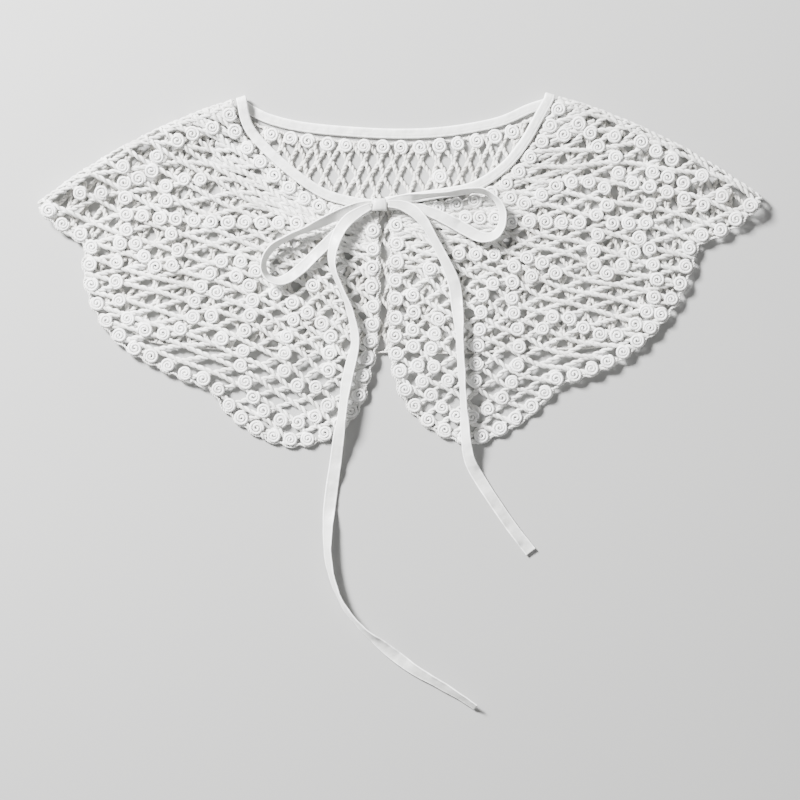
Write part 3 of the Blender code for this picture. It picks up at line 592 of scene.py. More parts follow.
@dataclass
class Fold:
    """Shoulder fold: an arc from the neck to the tip, round which the front turns under to the back.

    Attributes:
        neck: its end at the neck.
        tip: its end at the shoulder tip.
        bulge: how far its middle stands out.
        side: 1 for the left front and -1 for the right one.
    """

    neck: tuple[float, float]
    tip: tuple[float, float]
    bulge: float
    side: int

    def __post_init__(self) -> None:
        """Work the arc out."""
        neck, tip = self.neck, self.tip
        chord = math.dist(neck, tip)
        outline_radius = (chord * chord / 4 + self.bulge ** 2) / (2 * self.bulge)
        along = ((tip[0] - neck[0]) / chord, (tip[1] - neck[1]) / chord)
        drop = outline_radius - self.bulge
        self.x = (neck[0] + tip[0]) / 2 - along[1] * self.side * drop
        self.y = (neck[1] + tip[1]) / 2 + along[0] * self.side * drop
        self.radius = outline_radius - FOLD_REACH
        self.neck_angle = math.atan2(neck[1] - self.y, neck[0] - self.x)
        self.tip_angle = math.atan2(tip[1] - self.y, tip[0] - self.x)
        self.length = abs(self.tip_angle - self.neck_angle) * self.radius

    def at(self, past: float, from_neck: float) -> tuple[float, float]:
        """Find a point of the flat cut by how far it lies past the fold line and along it."""
        angle = self.neck_angle + self.side * from_neck / self.radius
        return (self.x + (self.radius + past) * math.cos(angle), self.y + (self.radius + past) * math.sin(angle))

    def lift(self, flat: np.ndarray) -> np.ndarray:
        """Place points of a front's flat cut.

        Args:
            flat: rows of x, y and offset from the middle of the wall.

        Returns:
            Rows of x, y and z, in millimetres.
        """
        x, y, offset = flat.T
        reach = np.hypot(x - self.x, y - self.y)
        past = reach - self.radius
        turn = np.clip(past, 0.0, WRAP) / FOLD_RADIUS
        beyond = np.maximum(past - WRAP, 0.0)
        share = (self.radius + (FOLD_RADIUS + offset) * np.sin(turn) - beyond) / reach
        turned_z = FOLD_CENTRE + (FOLD_RADIUS + offset) * np.cos(turn)
        crown = FOLD_CENTRE + FOLD_RADIUS - WALL / 2 - LAYER_UNDER
        under = crown * (1 - smoothstep(-past / FOLD_FALL))
        under += LAYER_UNDER * smoothstep((y - DROP_FOOT) / (DROP_TOP - DROP_FOOT))
        wraps = past > 0
        return np.stack([
            np.where(wraps, self.x + (x - self.x) * share, x),
            np.where(wraps, self.y + (y - self.y) * share, y),
            np.maximum(np.where(wraps, turned_z, under + WALL / 2 + offset), 0.0),
        ], axis=1)


def lift_back(flat: np.ndarray) -> np.ndarray:
    """Place points of the back's flat cut, as Fold.lift does a front's."""
    return np.stack([flat[:, 0], flat[:, 1], np.maximum(WALL / 2 + flat[:, 2], 0.0)], axis=1)


FOLD_LEFT = Fold((-92.4, 104.7), (-219.0, 38.7), 7.0, 1)
FOLD_RIGHT = Fold((87.0, 106.5), (218.6, 42.3), 7.0, -1)

Lift = Callable[[np.ndarray], np.ndarray]
Lattice = Callable[[np.ndarray, np.ndarray], np.ndarray]


class Tubes:
    """Collects tubes in a flat cut and makes one mesh of them."""

    def __init__(self) -> None:
        """Start with no tubes."""
        self.points: list[np.ndarray] = []
        self.quads: list[np.ndarray] = []
        self.caps: list[list[int]] = []
        self.count = 0

    def add(self, line: np.ndarray, radius: np.ndarray, sides: int, flatten: float) -> None:
        """Add one tube with closed ends.

        Args:
            line: rows of x, y and offset.
            radius: the tube's radius at each row.
            sides: corners round it.
            flatten: its height for its width.
        """
        way = unit_way(line)
        across = np.stack([-way[:, 1], way[:, 0]], axis=1)
        turns = 2 * math.pi * np.arange(sides) / sides
        ring = np.empty((len(line), sides, 3))
        ring[:, :, :2] = line[:, None, :2] + across[:, None, :] * (radius[:, None] * np.cos(turns))[:, :, None]
        ring[:, :, 2] = line[:, None, 2] + radius[:, None] * np.sin(turns) * flatten
        rows = np.arange(len(line) - 1)[:, None] * sides
        here = np.arange(sides)[None, :]
        after = (here + 1) % sides
        quads = np.stack([rows + here, rows + sides + here, rows + sides + after, rows + after], axis=2)
        self.points.append(ring.reshape(-1, 3))
        self.quads.append(quads.reshape(-1, 4) + self.count)
        last = self.count + (len(line) - 1) * sides
        self.caps.append(list(range(self.count, self.count + sides)))
        self.caps.append(list(range(last + sides - 1, last - 1, -1)))
        self.count += len(line) * sides

    def twist(self, line: np.ndarray, cord: Cord, turned: float, offset: float) -> None:
        """Add a two-ply cord.

        Args:
            line: rows of x and y, evenly spaced.
            cord: the cord's make.
            turned: how far its plies are turned at the start, in radians.
            offset: the height of its middle from the middle of the wall.
        """
        way = unit_way(line)
        across = np.stack([-way[:, 1], way[:, 0]], axis=1)
        radius = np.full(len(line), cord.ply)
        for ply in range(2):
            angle = turned + ply * math.pi + 2 * math.pi * travelled(line) / cord.pitch
            path = np.empty((len(line), 3))
            path[:, :2] = line + across * (cord.spread * np.cos(angle))[:, None]
            path[:, 2] = offset + cord.spread * np.sin(angle) * cord.flatten
            self.add(path, radius, cord.sides, cord.flatten)

    def object(self, name: str, lift: Lift) -> bpy.types.Object:
        """Make the mesh object.

        Args:
            name: the object's name.
            lift: places flat points, in millimetres.

        Returns:
            The object, at the origin.
        """
        points = lift(np.concatenate(self.points)) * MM
        quads = np.concatenate(self.quads)
        mesh = bpy.data.meshes.new(name)
        mesh.from_pydata(points.tolist(), [], quads.tolist() + self.caps)
        mesh.shade_smooth()
        made = bpy.data.objects.new(name, mesh)
        bpy.context.scene.collection.objects.link(made)
        return made


@dataclass
class Panel:
    """One piece of lace.

    Attributes:
        name: the start of its pieces' names.
        outline: the flat outline.
        neck: the part of it beside the neck's binding.
        hem: the part of it that has a hem cord.
        rosettes: centres of its rosettes.
        lift: places its flat points.
        rng: where its small differences come from.
        coil: the rosettes' cord.
    """

    name: str
    outline: list[tuple]
    neck: list[tuple]
    hem: list[tuple]
    rosettes: list[tuple]
    lift: Lift
    rng: np.random.Generator
    coil: Coil = Coil()

    def cords(self, lattice: Lattice, cell: tuple[float, float], cord: Cord, over: int) -> bpy.types.Object:
        """Make the crossed cords.

        Args:
            lattice: turns lattice places into flat points.
            cell: the length and width of a cell.
            cord: the cord's make.
            over: 1 if the cords that rise along the rows lie on top, else -1.

        Returns:
            The joined cords.
        """
        tubes = Tubes()
        places = np.arange(-LATTICE_COLUMNS, LATTICE_COLUMNS + 1, LATTICE_STEP)
        for rising in (1, -1):
            for start in range(-3 * LATTICE_COLUMNS + 1, 3 * LATTICE_COLUMNS, 2):
                line = lattice(places * cell[0] / 2, (start + rising * places) * cell[1] / 2)
                if inside(line, self.outline).any():
                    line = resample(line, cord.step)
                    level = OVER_LEVEL if rising == over else UNDER_LEVEL
                    self.runs(tubes, line, self.open_parts(line), cord, level)
        return tubes.object(f"{self.name}_cords", self.lift)

    def open_parts(self, line: np.ndarray) -> np.ndarray:
        """Tell where a cord shows.

        Args:
            line: the cord's whole line.

        Returns:
            One truth value for each point: true inside the panel's edge and clear of its rosettes.
        """
        kept = inside(line, self.outline)
        kept[kept] = distance_to_line(line[kept], self.outline + self.outline[:1]) > EDGE_CLEARANCE
        for centre in self.rosettes:
            kept &= np.hypot(*(line - centre).T) > CORD_HIDDEN
        return kept

    def filling(self, lattice: Lattice, fold: Fold) -> bpy.types.Object:
        """Make the cords that close the lace beside the neck and along the shoulder fold.

        Args:
            lattice: turns lattice places into flat points.
            fold: the shoulder fold.

        Returns:
            The joined cords.
        """
        tubes = Tubes()
        along = np.arange(*DENSE_ALONG)
        for row in np.arange(*DENSE_ROWS):
            line = resample(lattice(along, row + DENSE_WAVE * np.sin(0.09 * along + row)), DENSE_CORD.step)
            edge = DENSE_WIDTH * (1 + DENSE_RAGGED * math.sin(1.7 * row))
            kept = self.open_parts(line) & (distance_to_line(line, self.neck) < edge)
            self.runs(tubes, line, kept, DENSE_CORD, DENSE_LEVEL)
        share = np.linspace(0.0, 1.0, FOLD_CORD_POINTS)
        from_neck = FOLD_CORD_START + (fold.length - FOLD_CORD_START) * share
        for past in FOLD_CORDS:
            reach = past + FOLD_CORD_WAVE * np.sin(share * 31 + past)
            line = resample(np.array([fold.at(*place) for place in zip(reach, from_neck)]), LACE_CORD.step)
            self.runs(tubes, line, self.open_parts(line), LACE_CORD, FOLD_CORD_LEVEL)
        return tubes.object(f"{self.name}_filling", self.lift)

    def neck_band(self) -> bpy.types.Object:
        """Make the scalloped cord that runs under the neck's binding, with a shadow line between them.

        Returns:
            The cord.
        """
        tubes = Tubes()
        dense = resample(np.array(self.neck), HEM_CORD.step)
        way = unit_way(dense)
        inward = np.stack([way[:, 1], -way[:, 0]], axis=1)
        reach = BAND_DEPTH + BAND_SWING * np.abs(np.sin(travelled(dense) * math.pi / BAND_SCALLOP))
        tubes.twist(dense + inward * reach[:, None], HEM_CORD, 0.0, BAND_LEVEL)
        return tubes.object(f"{self.name}_neck_band", self.lift)

    def runs(self, tubes: Tubes, line: np.ndarray, kept: np.ndarray, cord: Cord, offset: float) -> None:
        """Add the kept runs of one cord.

        Args:
            tubes: where they go.
            line: the cord's whole line.
            kept: which of its points are kept.
            cord: the cord's make.
            offset: its height from the middle of the wall.
        """
        turned = self.rng.uniform(0, 2 * math.pi)
        edges = np.flatnonzero(np.diff(np.concatenate([[False], kept, [False]]).astype(int)))
        for first, last in zip(edges[::2], edges[1::2]):
            if last - first >= SHORTEST_RUN:
                phase = turned + 2 * math.pi * first * cord.step / cord.pitch
                tubes.twist(line[first:last], cord, phase, offset)

    def roses(self, height: float) -> bpy.types.Object:
        """Make the rosettes, each a coiled cord that rises to its middle.

        Args:
            height: the height of their cord's middle above the wall's middle.

        Returns:
            The joined rosettes.
        """
        tubes = Tubes()
        coil = self.coil
        share = np.linspace(0.0, 1.0, coil.points)
        wound = np.clip((share - coil.rim) / (1 - coil.rim), 0, 1) ** coil.ease
        radius = np.interp(share, coil.shares, coil.radii)
        for x, y in self.rosettes:
            size = self.rng.uniform(*coil.sizes)
            turned = self.rng.uniform(0, 2 * math.pi)
            way = self.rng.choice((-1, 1))
            turns = self.rng.uniform(*coil.turns)
            reach = (coil.reach - coil.winding * wound) * size
            angle = turned + way * 2 * math.pi * turns * share
            level = height + coil.rise * share + coil.ripple * np.sin(angle * 1.5 + turned)
            line = np.stack([x + reach * np.cos(angle), y + reach * np.sin(angle), level], axis=1)
            tubes.add(line, radius, coil.sides, coil.flatten)
        return tubes.object(f"{self.name}_rosettes", self.lift)

    def hem_cord(self, cord: Cord) -> bpy.types.Object:
        """Make the thin cord that scallops round the rosettes of the edge.

        Args:
            cord: the cord's make.

        Returns:
            The cord.
        """
        tubes = Tubes()
        dense = resample(np.array(self.hem), 1.0)
        near = np.full(len(dense), np.inf)
        for centre in self.rosettes:
            near = np.minimum(near, np.hypot(*(dense - centre).T))
        way = unit_way(dense)
        inward = np.stack([-way[:, 1], way[:, 0]], axis=1)
        middle = dense[len(dense) // 2] + inward[len(dense) // 2]
        if not inside(middle[None, :], self.outline)[0]:
            inward = -inward
        depth = HEM_DEPTH + HEM_SWING * smoothstep((near - HEM_NEAR) / HEM_EASE)
        line = resample(dense + inward * depth[:, None], cord.step)
        tubes.twist(line, cord, 0.0, HEM_LEVEL)
        return tubes.object(f"{self.name}_hem_cord", self.lift)


def row_points(row: tuple) -> list[tuple[float, float]]:
    """List the rosette centres of one row of a table, which may be a single centre."""
    return [row[:2]] + (bowed(row[:2], row[2:4], row[4], ROSETTE_SPACING) if len(row) > 2 else [])


def edge_row(line: list[tuple], side: int, allowed: Callable) -> list[tuple[float, float]]:
    """Space rosette centres beside an edge.

    Args:
        line: the edge.
        side: which side of it.
        allowed: tells whether a centre may have one.

    Returns:
        The centres, from the first place allowed.
    """
    row: list[tuple[float, float]] = []
    for point in offset_line(smooth_line(line, 6), -ROSETTE_INSET * side):
        if allowed(point) and (not row or math.dist(point, row[-1]) > ROSETTE_SPACING):
            row.append(point)
    return row


def place_rosettes(outline: list[tuple], lines: list[list[tuple]], allowed: Callable) -> list[tuple]:
    """Keep the rosettes that are clear of the panel's edge and of each other.

    Args:
        outline: the flat outline.
        lines: rows of centres, the most important first.
        allowed: tells whether a centre may have one.

    Returns:
        The centres kept.
    """
    placed: list[tuple] = []
    edge = outline + outline[:1]
    for line in lines:
        for point in line:
            clear = all(math.dist(point, other) > ROSETTE_CLEARANCE for other in placed)
            if not clear or not allowed(point):
                continue
            spot = np.array([point])
            if inside(spot, outline)[0] and distance_to_line(spot, edge)[0] >= ROSETTE_INSET - ROSETTE_LEEWAY:
                placed.append(point)
    return placed


def hem_line(start: tuple, stretches: list[tuple], side: int) -> list[tuple[float, float]]:
    """List the points of a hem.

    Args:
        start: where it starts; that point isn't returned.
        stretches: the ends and bulges of its stretches.
        side: 1 or -1, the way the bulges stand out.

    Returns:
        The points.
    """
    line = []
    for x, y, bulge in stretches:
        line += bowed(start, (x, y), bulge * side, EDGE_STEP)
        start = (x, y)
    return line


def back_neck_line(spans: int) -> list[tuple]:
    """List the neck edge of the back.

    Args:
        spans: samples between two points of the table.

    Returns:
        The points, from the left fold to the right one.
    """
    ends = (FOLD_LEFT.at(-SEAM, 0), FOLD_RIGHT.at(-SEAM, 0))
    return smooth_line([ends[0]] + NECK_BACK + [ends[1]], spans)


def back_edge(width: float, spans: int) -> list[tuple]:
    """List the line beside the back's neck edge.

    Args:
        width: its distance from that edge.
        spans: samples between two points of the table.

    Returns:
        The points.
    """
    line = offset_line(back_neck_line(spans), width)
    line[0] = FOLD_LEFT.at(-SEAM, width)
    line[-1] = FOLD_RIGHT.at(-SEAM, width)
    return line


def front_panel(name: str, fold: Fold, neck: list[tuple], hem: list[tuple], rows: list[tuple],
                rng: np.random.Generator) -> Panel:
    """Lay out a front.

    Args:
        name: the start of its pieces' names.
        fold: its shoulder fold.
        neck: its neck edge.
        hem: its hem's stretches.
        rows: its inner rows of rosettes.
        rng: where its small differences come from.

    Returns:
        The panel.
    """
    side = fold.side
    width = BINDING_WIDTH + SEAM
    pasts = [WRAP * step / FOLD_STEPS for step in range(FOLD_STEPS + 1)]
    span = fold.length - width

    def column(past: float, share: float) -> tuple[float, float]:
        """Find a point of the cut past the fold, by its share of the way to the tip."""
        return fold.at(past, width + span * share - TIP_TAPER * past * share ** 6)

    neck_line = offset_line(smooth_line([fold.at(0, 0)] + neck, 3), width * side)[1:-1]
    hem_points = hem_line(column(0, 1), hem, side)
    outline = [column(past, 0) for past in pasts]
    outline += [column(WRAP, index / FOLD_COLUMNS) for index in range(1, FOLD_COLUMNS)]
    outline += [column(past, 1) for past in reversed(pasts)]
    outline += hem_points + neck_line[::-1]

    def clear_of_fold(point: tuple) -> bool:
        """Tell whether a rosette stays clear of the fold."""
        past = math.hypot(point[0] - fold.x, point[1] - fold.y) - fold.radius
        return past < -ROSETTE_INSET + ROSETTE_LEEWAY

    lines = [
        edge_row([column(0, 1)] + hem_points, side, clear_of_fold),
        edge_row(neck_line, -side, clear_of_fold),
    ]
    lines += [row_points(row) for row in rows]
    rosettes = place_rosettes(outline, lines, clear_of_fold)
    return Panel(name, outline, neck_line, [column(0, 1)] + hem_points, rosettes, fold.lift, rng)


def back_panel(name: str, rng: np.random.Generator) -> Panel:
    """Lay out the back.

    Args:
        name: the start of its pieces' names.
        rng: where its small differences come from.

    Returns:
        The panel.
    """
    width = BINDING_WIDTH + SEAM
    neck_edge = back_edge(width, 3)
    left, right = (
        [fold.at(-SEAM, width + (fold.length - width) * index / FOLD_COLUMNS) for index in range(FOLD_COLUMNS + 1)]
        for fold in (FOLD_LEFT, FOLD_RIGHT)
    )
    hem = hem_line(left[-1], HEM_BACK + [(*right[-1], 1.0)], 1)
    outline = left + hem + right[-2::-1] + neck_edge[-2:0:-1]
    opening = smooth_line([FOLD_LEFT.at(0, 0)] + NECK_LEFT, 3)
    opening += smooth_line([FOLD_RIGHT.at(0, 0)] + NECK_RIGHT, 3)[::-1]

    def in_neck(point: tuple) -> bool:
        """Tell whether a rosette shows in the neck opening, clear of the fronts."""
        spot = np.array([point])
        return bool(inside(spot, opening)[0]) and distance_to_line(spot, opening)[0] > ROSETTE_RADIUS + 1.0

    rosettes = place_rosettes(outline, [edge_row(neck_edge, -1, in_neck), [BACK_ROSETTE]], in_neck)
    return Panel(name, outline, neck_edge, [left[-1]] + hem, rosettes, lift_back, rng)


def sway(along: np.ndarray, across: np.ndarray, pace: tuple[float, float]) -> np.ndarray:
    """Let places of a lattice wander a little, by its pace along and across."""
    return LATTICE_WAVE * np.sin(pace[0] * along + pace[1] * across)


def front_lattice(side: int) -> Lattice:
    """Make a front's lattice.

    Args:
        side: -1 for the left front and 1 for the right one.

    Returns:
        A function of the place along the rows and across them.
    """
    def lattice(along: np.ndarray, across: np.ndarray) -> np.ndarray:
        """Place points along the rows and across them."""
        x = np.interp(along, REACH_PLACES, REACH_XS)
        y = across + np.interp(across, SLOPE_HEIGHTS, SLOPE_RISES) * (x - LATTICE_MIDDLE)
        x = x + sway(along, across, FRONT_SWAY_X)
        y = y + sway(along, across, FRONT_SWAY_Y)
        return np.stack([side * x, y], axis=1)

    return lattice


def back_lattice(along: np.ndarray, across: np.ndarray) -> np.ndarray:
    """Place the back's lattice, along down from the neck and across the back."""
    x = across * (1 + BACK_LATTICE_FAN * along) + sway(along, across, BACK_SWAY_X)
    return np.stack([x, BACK_LATTICE_TOP - along], axis=1)


class Strips:
    """Makes closed strips through sections."""

    @staticmethod
    def band(name: str, sections: list[np.ndarray], edges: list[float]) -> bpy.types.Object:
        """Skin a strip.

        Args:
            name: the object's name.
            sections: rings of points in millimetres, all with the same count.
            edges: how far each point of a ring gets the painted edge highlight, from 0 to 1.

        Returns:
            The object, at the origin.
        """
        bm = bmesh.new()
        rings = [[bm.verts.new(point * MM) for point in section] for section in sections]
        for first, second in zip(rings, rings[1:]):
            for index in range(len(first)):
                after = (index + 1) % len(first)
                bm.faces.new((first[index], first[after], second[after], second[index]))
        bm.faces.new(rings[0][::-1])
        bm.faces.new(rings[-1])
        bmesh.ops.recalc_face_normals(bm, faces=bm.faces)
        made = object_of(name, bm)
        layer = made.data.attributes.new(EDGE_HIGHLIGHT_LAYER, "FLOAT", "POINT")
        layer.data.foreach_set("value", np.array(edges * len(sections), np.float32))
        return made

    @staticmethod
    def binding(name: str, pairs: list[tuple], lift: Lift, rises: list[float]) -> bpy.types.Object:
        """Make a folded binding.

        Args:
            name: the object's name.
            pairs: its points at the neck edge and at the lace.
            lift: places flat points.
            rises: how much thicker than the lace it is at each pair.

        Returns:
            The object, at the origin.
        """
        sections = []
        for (inner, outer), rise in zip(pairs, rises):
            flat = np.array([
                (
                    inner[0] + (outer[0] - inner[0]) * share,
                    inner[1] + (outer[1] - inner[1]) * share,
                    level * WALL / 2 + (rise * level if level > 0 else 0.0),
                )
                for share, level, _ in BINDING_PROFILE
            ])
            sections.append(lift(flat))
        return Strips.band(name, sections, [edge for _, _, edge in BINDING_PROFILE])


@dataclass
class Tape:
    """A flat satin tape along a route.

    Attributes:
        name: the object's name.
        route: the route's table.
        thickness: the tape's thickness.
        clearance: how far it lies above its rest height.
        spans: samples between two rows of the table.
        step: the distance between its sections.
        flutter: how its tilt wavers, as degrees, pace and whether it starts out of step.
    """

    name: str
    route: list[tuple]
    thickness: float = 0.9
    clearance: float = 0.1
    spans: int = 14
    step: float = 0.8
    flutter: tuple[tuple, ...] = ((5.0, 0.17, 1), (2.4, 0.41, 0), (0.8, 0.9, 0))

    def __post_init__(self) -> None:
        """Sample the route."""
        self.rows = resample(np.array(smooth_line(self.route, self.spans)), self.step)

    def path(self) -> list[list[float]]:
        """List the points of the tape's middle line, in metres."""
        return [[x * MM, y * MM, z * MM] for x, y, z in self.frames()[0]]

    def frames(self) -> tuple[np.ndarray, np.ndarray, np.ndarray]:
        """Work out where the tape lies.

        Returns:
            Its middles, and the directions across it and out of its face.
        """
        x, y, rest, tilt, width = self.rows.T
        way = unit_way(self.rows)
        travel = np.arange(len(x)) * self.step
        flutter = sum(size * np.sin(pace * travel + late * width[0]) for size, pace, late in self.flutter)
        turn = np.radians(tilt + flutter)
        across = np.stack([-way[:, 1] * np.cos(turn), way[:, 0] * np.cos(turn), np.sin(turn)], axis=1)
        face = np.stack([way[:, 1] * np.sin(turn), -way[:, 0] * np.sin(turn), np.cos(turn)], axis=1)
        half_height = np.abs(np.sin(turn)) * width / 2 + np.cos(turn) * self.thickness / 2
        height = np.maximum(rest, 0.0) + half_height + self.clearance
        return np.stack([x, y, height], axis=1), across, face

    def make(self) -> bpy.types.Object:
        """Make the tape.

        Returns:
            The object, at the origin.
        """
        sections = []
        for middle, side, up, width in zip(*self.frames(), self.rows[:, 4]):
            sections.append(np.array([
                middle + side * (u * width / 2) + up * (v * self.thickness / 2) for u, v, _ in TAPE_PROFILE
            ]))
        return Strips.band(self.name, sections, [edge for _, _, edge in TAPE_PROFILE])


def object_of(name: str, bm: bmesh.types.BMesh) -> bpy.types.Object:
    """Turn a bmesh into a smooth object.

    Args:
        name: the object's name.
        bm: the bmesh, which is freed.

    Returns:
        The object, at the origin.
    """
    mesh = bpy.data.meshes.new(name)
    bm.to_mesh(mesh)
    bm.free()
    mesh.shade_smooth()
    made = bpy.data.objects.new(name, mesh)
    bpy.context.scene.collection.objects.link(made)
    return made


def polygon_area(polygon: list[tuple]) -> float:
    """Measure a polygon's signed area."""
    return sum(x0 * y1 - x1 * y0 for (x0, y0), (x1, y1) in zip(polygon, polygon[1:] + polygon[:1])) / 2


@dataclass(frozen=True)
class Knot:
    """The bow's knot, a band of tape pulled round the crossing tapes, in shares of its box.

    Attributes:
        cuts: cuts across each side of the cube that it starts from.
        width: half its width.
        narrowing: how much narrower its upper end is.
        waist: how far its ends are drawn in at the middle.
        corners: how far its corners are drawn in.
        fall: how far its top falls towards both ends.
        slope: how far its top falls towards both sides.
        crease: the height of its creases.
    """

    cuts: int = 6
    width: float = 0.44
    narrowing: float = 0.06
    waist: float = 0.06
    corners: float = 0.08
    fall: float = 0.16
    slope: float = 0.1
    crease: float = 0.04

    def make(self, low: Vector, high: Vector) -> bpy.types.Object:
        """Make the knot.

        Args:
            low: the lowest corner of its box.
            high: the highest corner.

        Returns:
            The object, at the origin.
        """
        bm = bmesh.new()
        bmesh.ops.create_cube(bm, size=1.0)
        bmesh.ops.subdivide_edges(bm, edges=bm.edges, cuts=self.cuts, use_grid_fill=True)
        for vert in bm.verts:
            x, y, z = vert.co * 2
            width = self.width - self.narrowing * y
            length = 0.5 - self.waist * (1 - x * x) - self.corners * x * x * z * z
            height = 0.5 - self.fall * y * y - self.slope * x * x
            crease = self.crease * math.sin(8 * x + 1.5 * y) if z > 0 else 0.0
            vert.co = Vector((x * width, y * length, z * height + crease))
        bmesh.ops.scale(bm, vec=high - low, verts=bm.verts)
        bmesh.ops.translate(bm, vec=(low + high) / 2, verts=bm.verts)
        bmesh.ops.smooth_vert(bm, verts=bm.verts, factor=0.5, use_axis_x=True, use_axis_y=True, use_axis_z=True)
        bmesh.ops.recalc_face_normals(bm, faces=bm.faces)
        return object_of("bow_knot_wrap", bm)


class Collar:
    """Builds the whole visual model and gives each piece its material."""

    def __init__(self) -> None:
        """Make the materials."""
        self.rng = np.random.default_rng(SEED)
        self.lace = Material.cloth(LACE)
        self.shaded_dense_lace = Material.cloth(SHADED_DENSE_LACE)
        self.rose = Material.cloth(ROSE)
        self.back_lace = Material.cloth(BACK_LACE)
        self.poplin = Material.cloth(POPLIN)
        self.satin = Material.cloth(SATIN)

    def dress(self, piece: bpy.types.Object, material: bpy.types.Material, slot: Slot,
              *nodes: str) -> bpy.types.Object:
        """Give a piece its material and its place in the frame.

        Args:
            piece: the piece.
            material: its material.
            slot: the material slot's name; not used.
            nodes: the CAD nodes that it stands for.

        Returns:
            The piece.
        """
        piece.data.materials.clear()
        piece.data.materials.append(material)
        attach(piece, ROOT_BODY)
        if nodes:
            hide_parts(*nodes)
        faces = sum(len(polygon.vertices) - 2 for polygon in piece.data.polygons)
        log.info("%s: %d triangles", piece.name, faces)
        return piece

    def ties(self) -> None:
        """Make the bow's loops and tails."""
        routes = (
            ("bow_loop_left", LOOP_LEFT, "object"), ("bow_loop_right", LOOP_RIGHT, "object"),
            ("tie_tail_left", TAIL_LEFT, "bare"), ("tie_tail_right", TAIL_RIGHT, "bare"),
        )
        for node, rows, far_end in routes:
            tape = Tape(f"{node}_tape", rows)
            piece = self.dress(tape.make(), self.satin, Slot.TAPE, node)
            path = tape.path()
            length = sum(math.dist(a, b) for a, b in zip(path, path[1:]))
            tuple(path[0])

    def knot(self) -> None:
        """Make the bow's knot."""
        self.dress(Knot().make(*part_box("bow_knot")), self.satin, Slot.TAPE, "bow_knot")

    def back(self) -> None:
        """Make the back panel and its binding."""
        panel = back_panel("back", self.rng)
        crossed = panel.cords(back_lattice, BACK_CELL, BACK_CORD, 1)
        cords = self.dress(crossed, self.back_lace, Slot.LACE, "lace_back")
        roses = self.dress(panel.roses(BACK_COIL_LEVEL), self.rose, Slot.LACE)
        hem = self.dress(panel.hem_cord(HEM_CORD), self.back_lace, Slot.LACE)
        edging = self.dress(panel.neck_band(), self.back_lace, Slot.LACE)
        pairs = list(zip(back_neck_line(BINDING_SPANS), back_edge(BINDING_WIDTH, BINDING_SPANS)))
        strip = Strips.binding("binding_back_strip", pairs, lift_back, [0.0] * len(pairs))
        binding = self.dress(strip, self.poplin, Slot.BINDING, "binding_back")
        flat = abs(polygon_area(panel.outline)) * MM * MM

    def front(self, word: str, fold: Fold, neck: list[tuple], hem: list[tuple], rows: list[tuple]) -> None:
        """Make one front panel and its binding.

        Args:
            word: left or right, as seen.
            fold: its shoulder fold.
            neck: its neck edge.
            hem: its hem's stretches.
            rows: its inner rows of rosettes.
        """
        panel = front_panel(f"front_{word}", fold, neck, hem, rows, self.rng)
        lattice = front_lattice(-fold.side)
        crossed = panel.cords(lattice, FRONT_CELL, LACE_CORD, fold.side)
        cords = self.dress(crossed, self.lace, Slot.LACE, f"lace_front_{word}")
        # The close-packed cords get a darker lace colour as painted shade
        filling = self.dress(panel.filling(lattice, fold), self.shaded_dense_lace, Slot.LACE)
        roses = self.dress(panel.roses(FRONT_COIL_LEVEL), self.rose, Slot.LACE)
        hem_cord = self.dress(panel.hem_cord(HEM_CORD), self.lace, Slot.LACE)
        line = smooth_line([fold.at(0, 0)] + neck, BINDING_SPANS)
        outer = offset_line(line, BINDING_WIDTH * fold.side)
        outer[0] = fold.at(0, BINDING_WIDTH)
        pasts = [WRAP * step / FOLD_STEPS for step in range(FOLD_STEPS, 0, -1)]
        pairs = [(fold.at(past, 0), fold.at(past, BINDING_WIDTH)) for past in pasts] + list(zip(line, outer))
        pasts += [math.hypot(x - fold.x, y - fold.y) - fold.radius for x, y in line]
        rises = [BINDING_RISE * float(smoothstep(np.float64(-past / FOLD_FALL))) for past in pasts]
        strip = Strips.binding(f"binding_front_{word}_strip", pairs, fold.lift, rises)
        binding = self.dress(strip, self.poplin, Slot.BINDING, f"binding_front_{word}")
        flat = abs(polygon_area(panel.outline)) * MM * MM


@dataclass(frozen=True)
class Lamp:
    """A soft square lamp: its name, its place and its side in metres, and its power in watts."""

    name: str
    place: tuple[float, float, float]
    side: float
    power: float


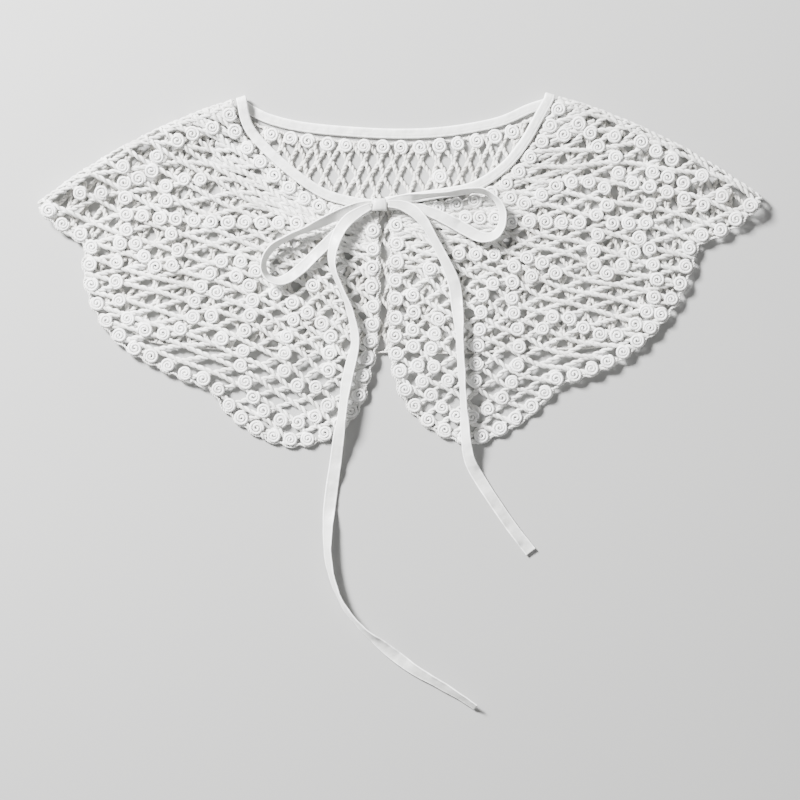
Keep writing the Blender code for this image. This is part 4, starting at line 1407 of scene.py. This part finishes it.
@dataclass(frozen=True)
class Studio:
    """The floor, the lights and the camera, with lengths in metres.

    Attributes:
        centre: what the camera and the lamps face.
        width: the width of the view there.
        lens: the camera's focal length, in millimetres.
        sensor: its sensor's width, in millimetres.
        sight: how far the camera sees.
        floor: half the floor's width.
        level: the floor's height.
        world: the strength of the light from all round.
        lamps: the lamps.
    """

    centre: tuple[float, float, float] = (0.0, -0.0777, 0.0)
    width: float = 0.48
    lens: float = 85.0
    sensor: float = 36.0
    sight: float = 20.0
    floor: float = 3.0
    level: float = -0.0005
    world: float = 0.2
    lamps: tuple[Lamp, ...] = (
        Lamp("window", (-0.95, 0.85, 0.85), 0.35, 180.0),
        Lamp("fill", (0.8, -0.6, 1.2), 1.2, 8.0),
    )

    def camera(self) -> None:
        """Make the camera, straight above."""
        data = bpy.data.cameras.new("camera")
        data.lens = self.lens
        data.sensor_width = self.sensor
        data.clip_end = self.sight
        camera = bpy.data.objects.new("camera", data)
        camera.location = Vector(self.centre) + Vector((0, 0, self.width * self.lens / self.sensor))
        bpy.context.scene.collection.objects.link(camera)
        bpy.context.scene.camera = camera

    def light(self, lamp: Lamp) -> None:
        """Make a lamp that faces the collar.

        Args:
            lamp: the lamp's sizes.
        """
        data = bpy.data.lights.new(lamp.name, "AREA")
        data.shape = "SQUARE"
        data.size = lamp.side
        data.energy = lamp.power
        made = bpy.data.objects.new(lamp.name, data)
        made.location = lamp.place
        made.rotation_mode = "QUATERNION"
        made.rotation_quaternion = (Vector(self.centre) - made.location).to_track_quat("-Z", "Y")
        bpy.context.scene.collection.objects.link(made)

    def build(self) -> None:
        """Make the floor, the lights and the world."""
        bm = bmesh.new()
        bmesh.ops.create_grid(bm, x_segments=1, y_segments=1, size=self.floor)
        bmesh.ops.translate(bm, vec=Vector((0, 0, self.level)), verts=bm.verts)
        floor = object_of("floor", bm)
        floor.data.materials.append(Material.floor())
        for lamp in self.lamps:
            self.light(lamp)
        world = bpy.data.worlds.new("studio")
        world.use_nodes = True
        background = world.node_tree.nodes["Background"]
        background.inputs["Color"].default_value = (1.0, 1.0, 1.0, 1.0)
        background.inputs["Strength"].default_value = self.world
        bpy.context.scene.world = world


def main() -> None:
    """Build the scene."""
    logging.basicConfig(level=logging.INFO, format="%(message)s")
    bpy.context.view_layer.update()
    studio = Studio()
    studio.camera()
    collar = Collar()
    collar.ties()
    collar.knot()
    collar.back()
    collar.front("left", FOLD_LEFT, NECK_LEFT, HEM_LEFT, ROWS_LEFT)
    collar.front("right", FOLD_RIGHT, NECK_RIGHT, HEM_RIGHT, ROWS_RIGHT)
    studio.build()


if __name__ == "__main__":
    main()
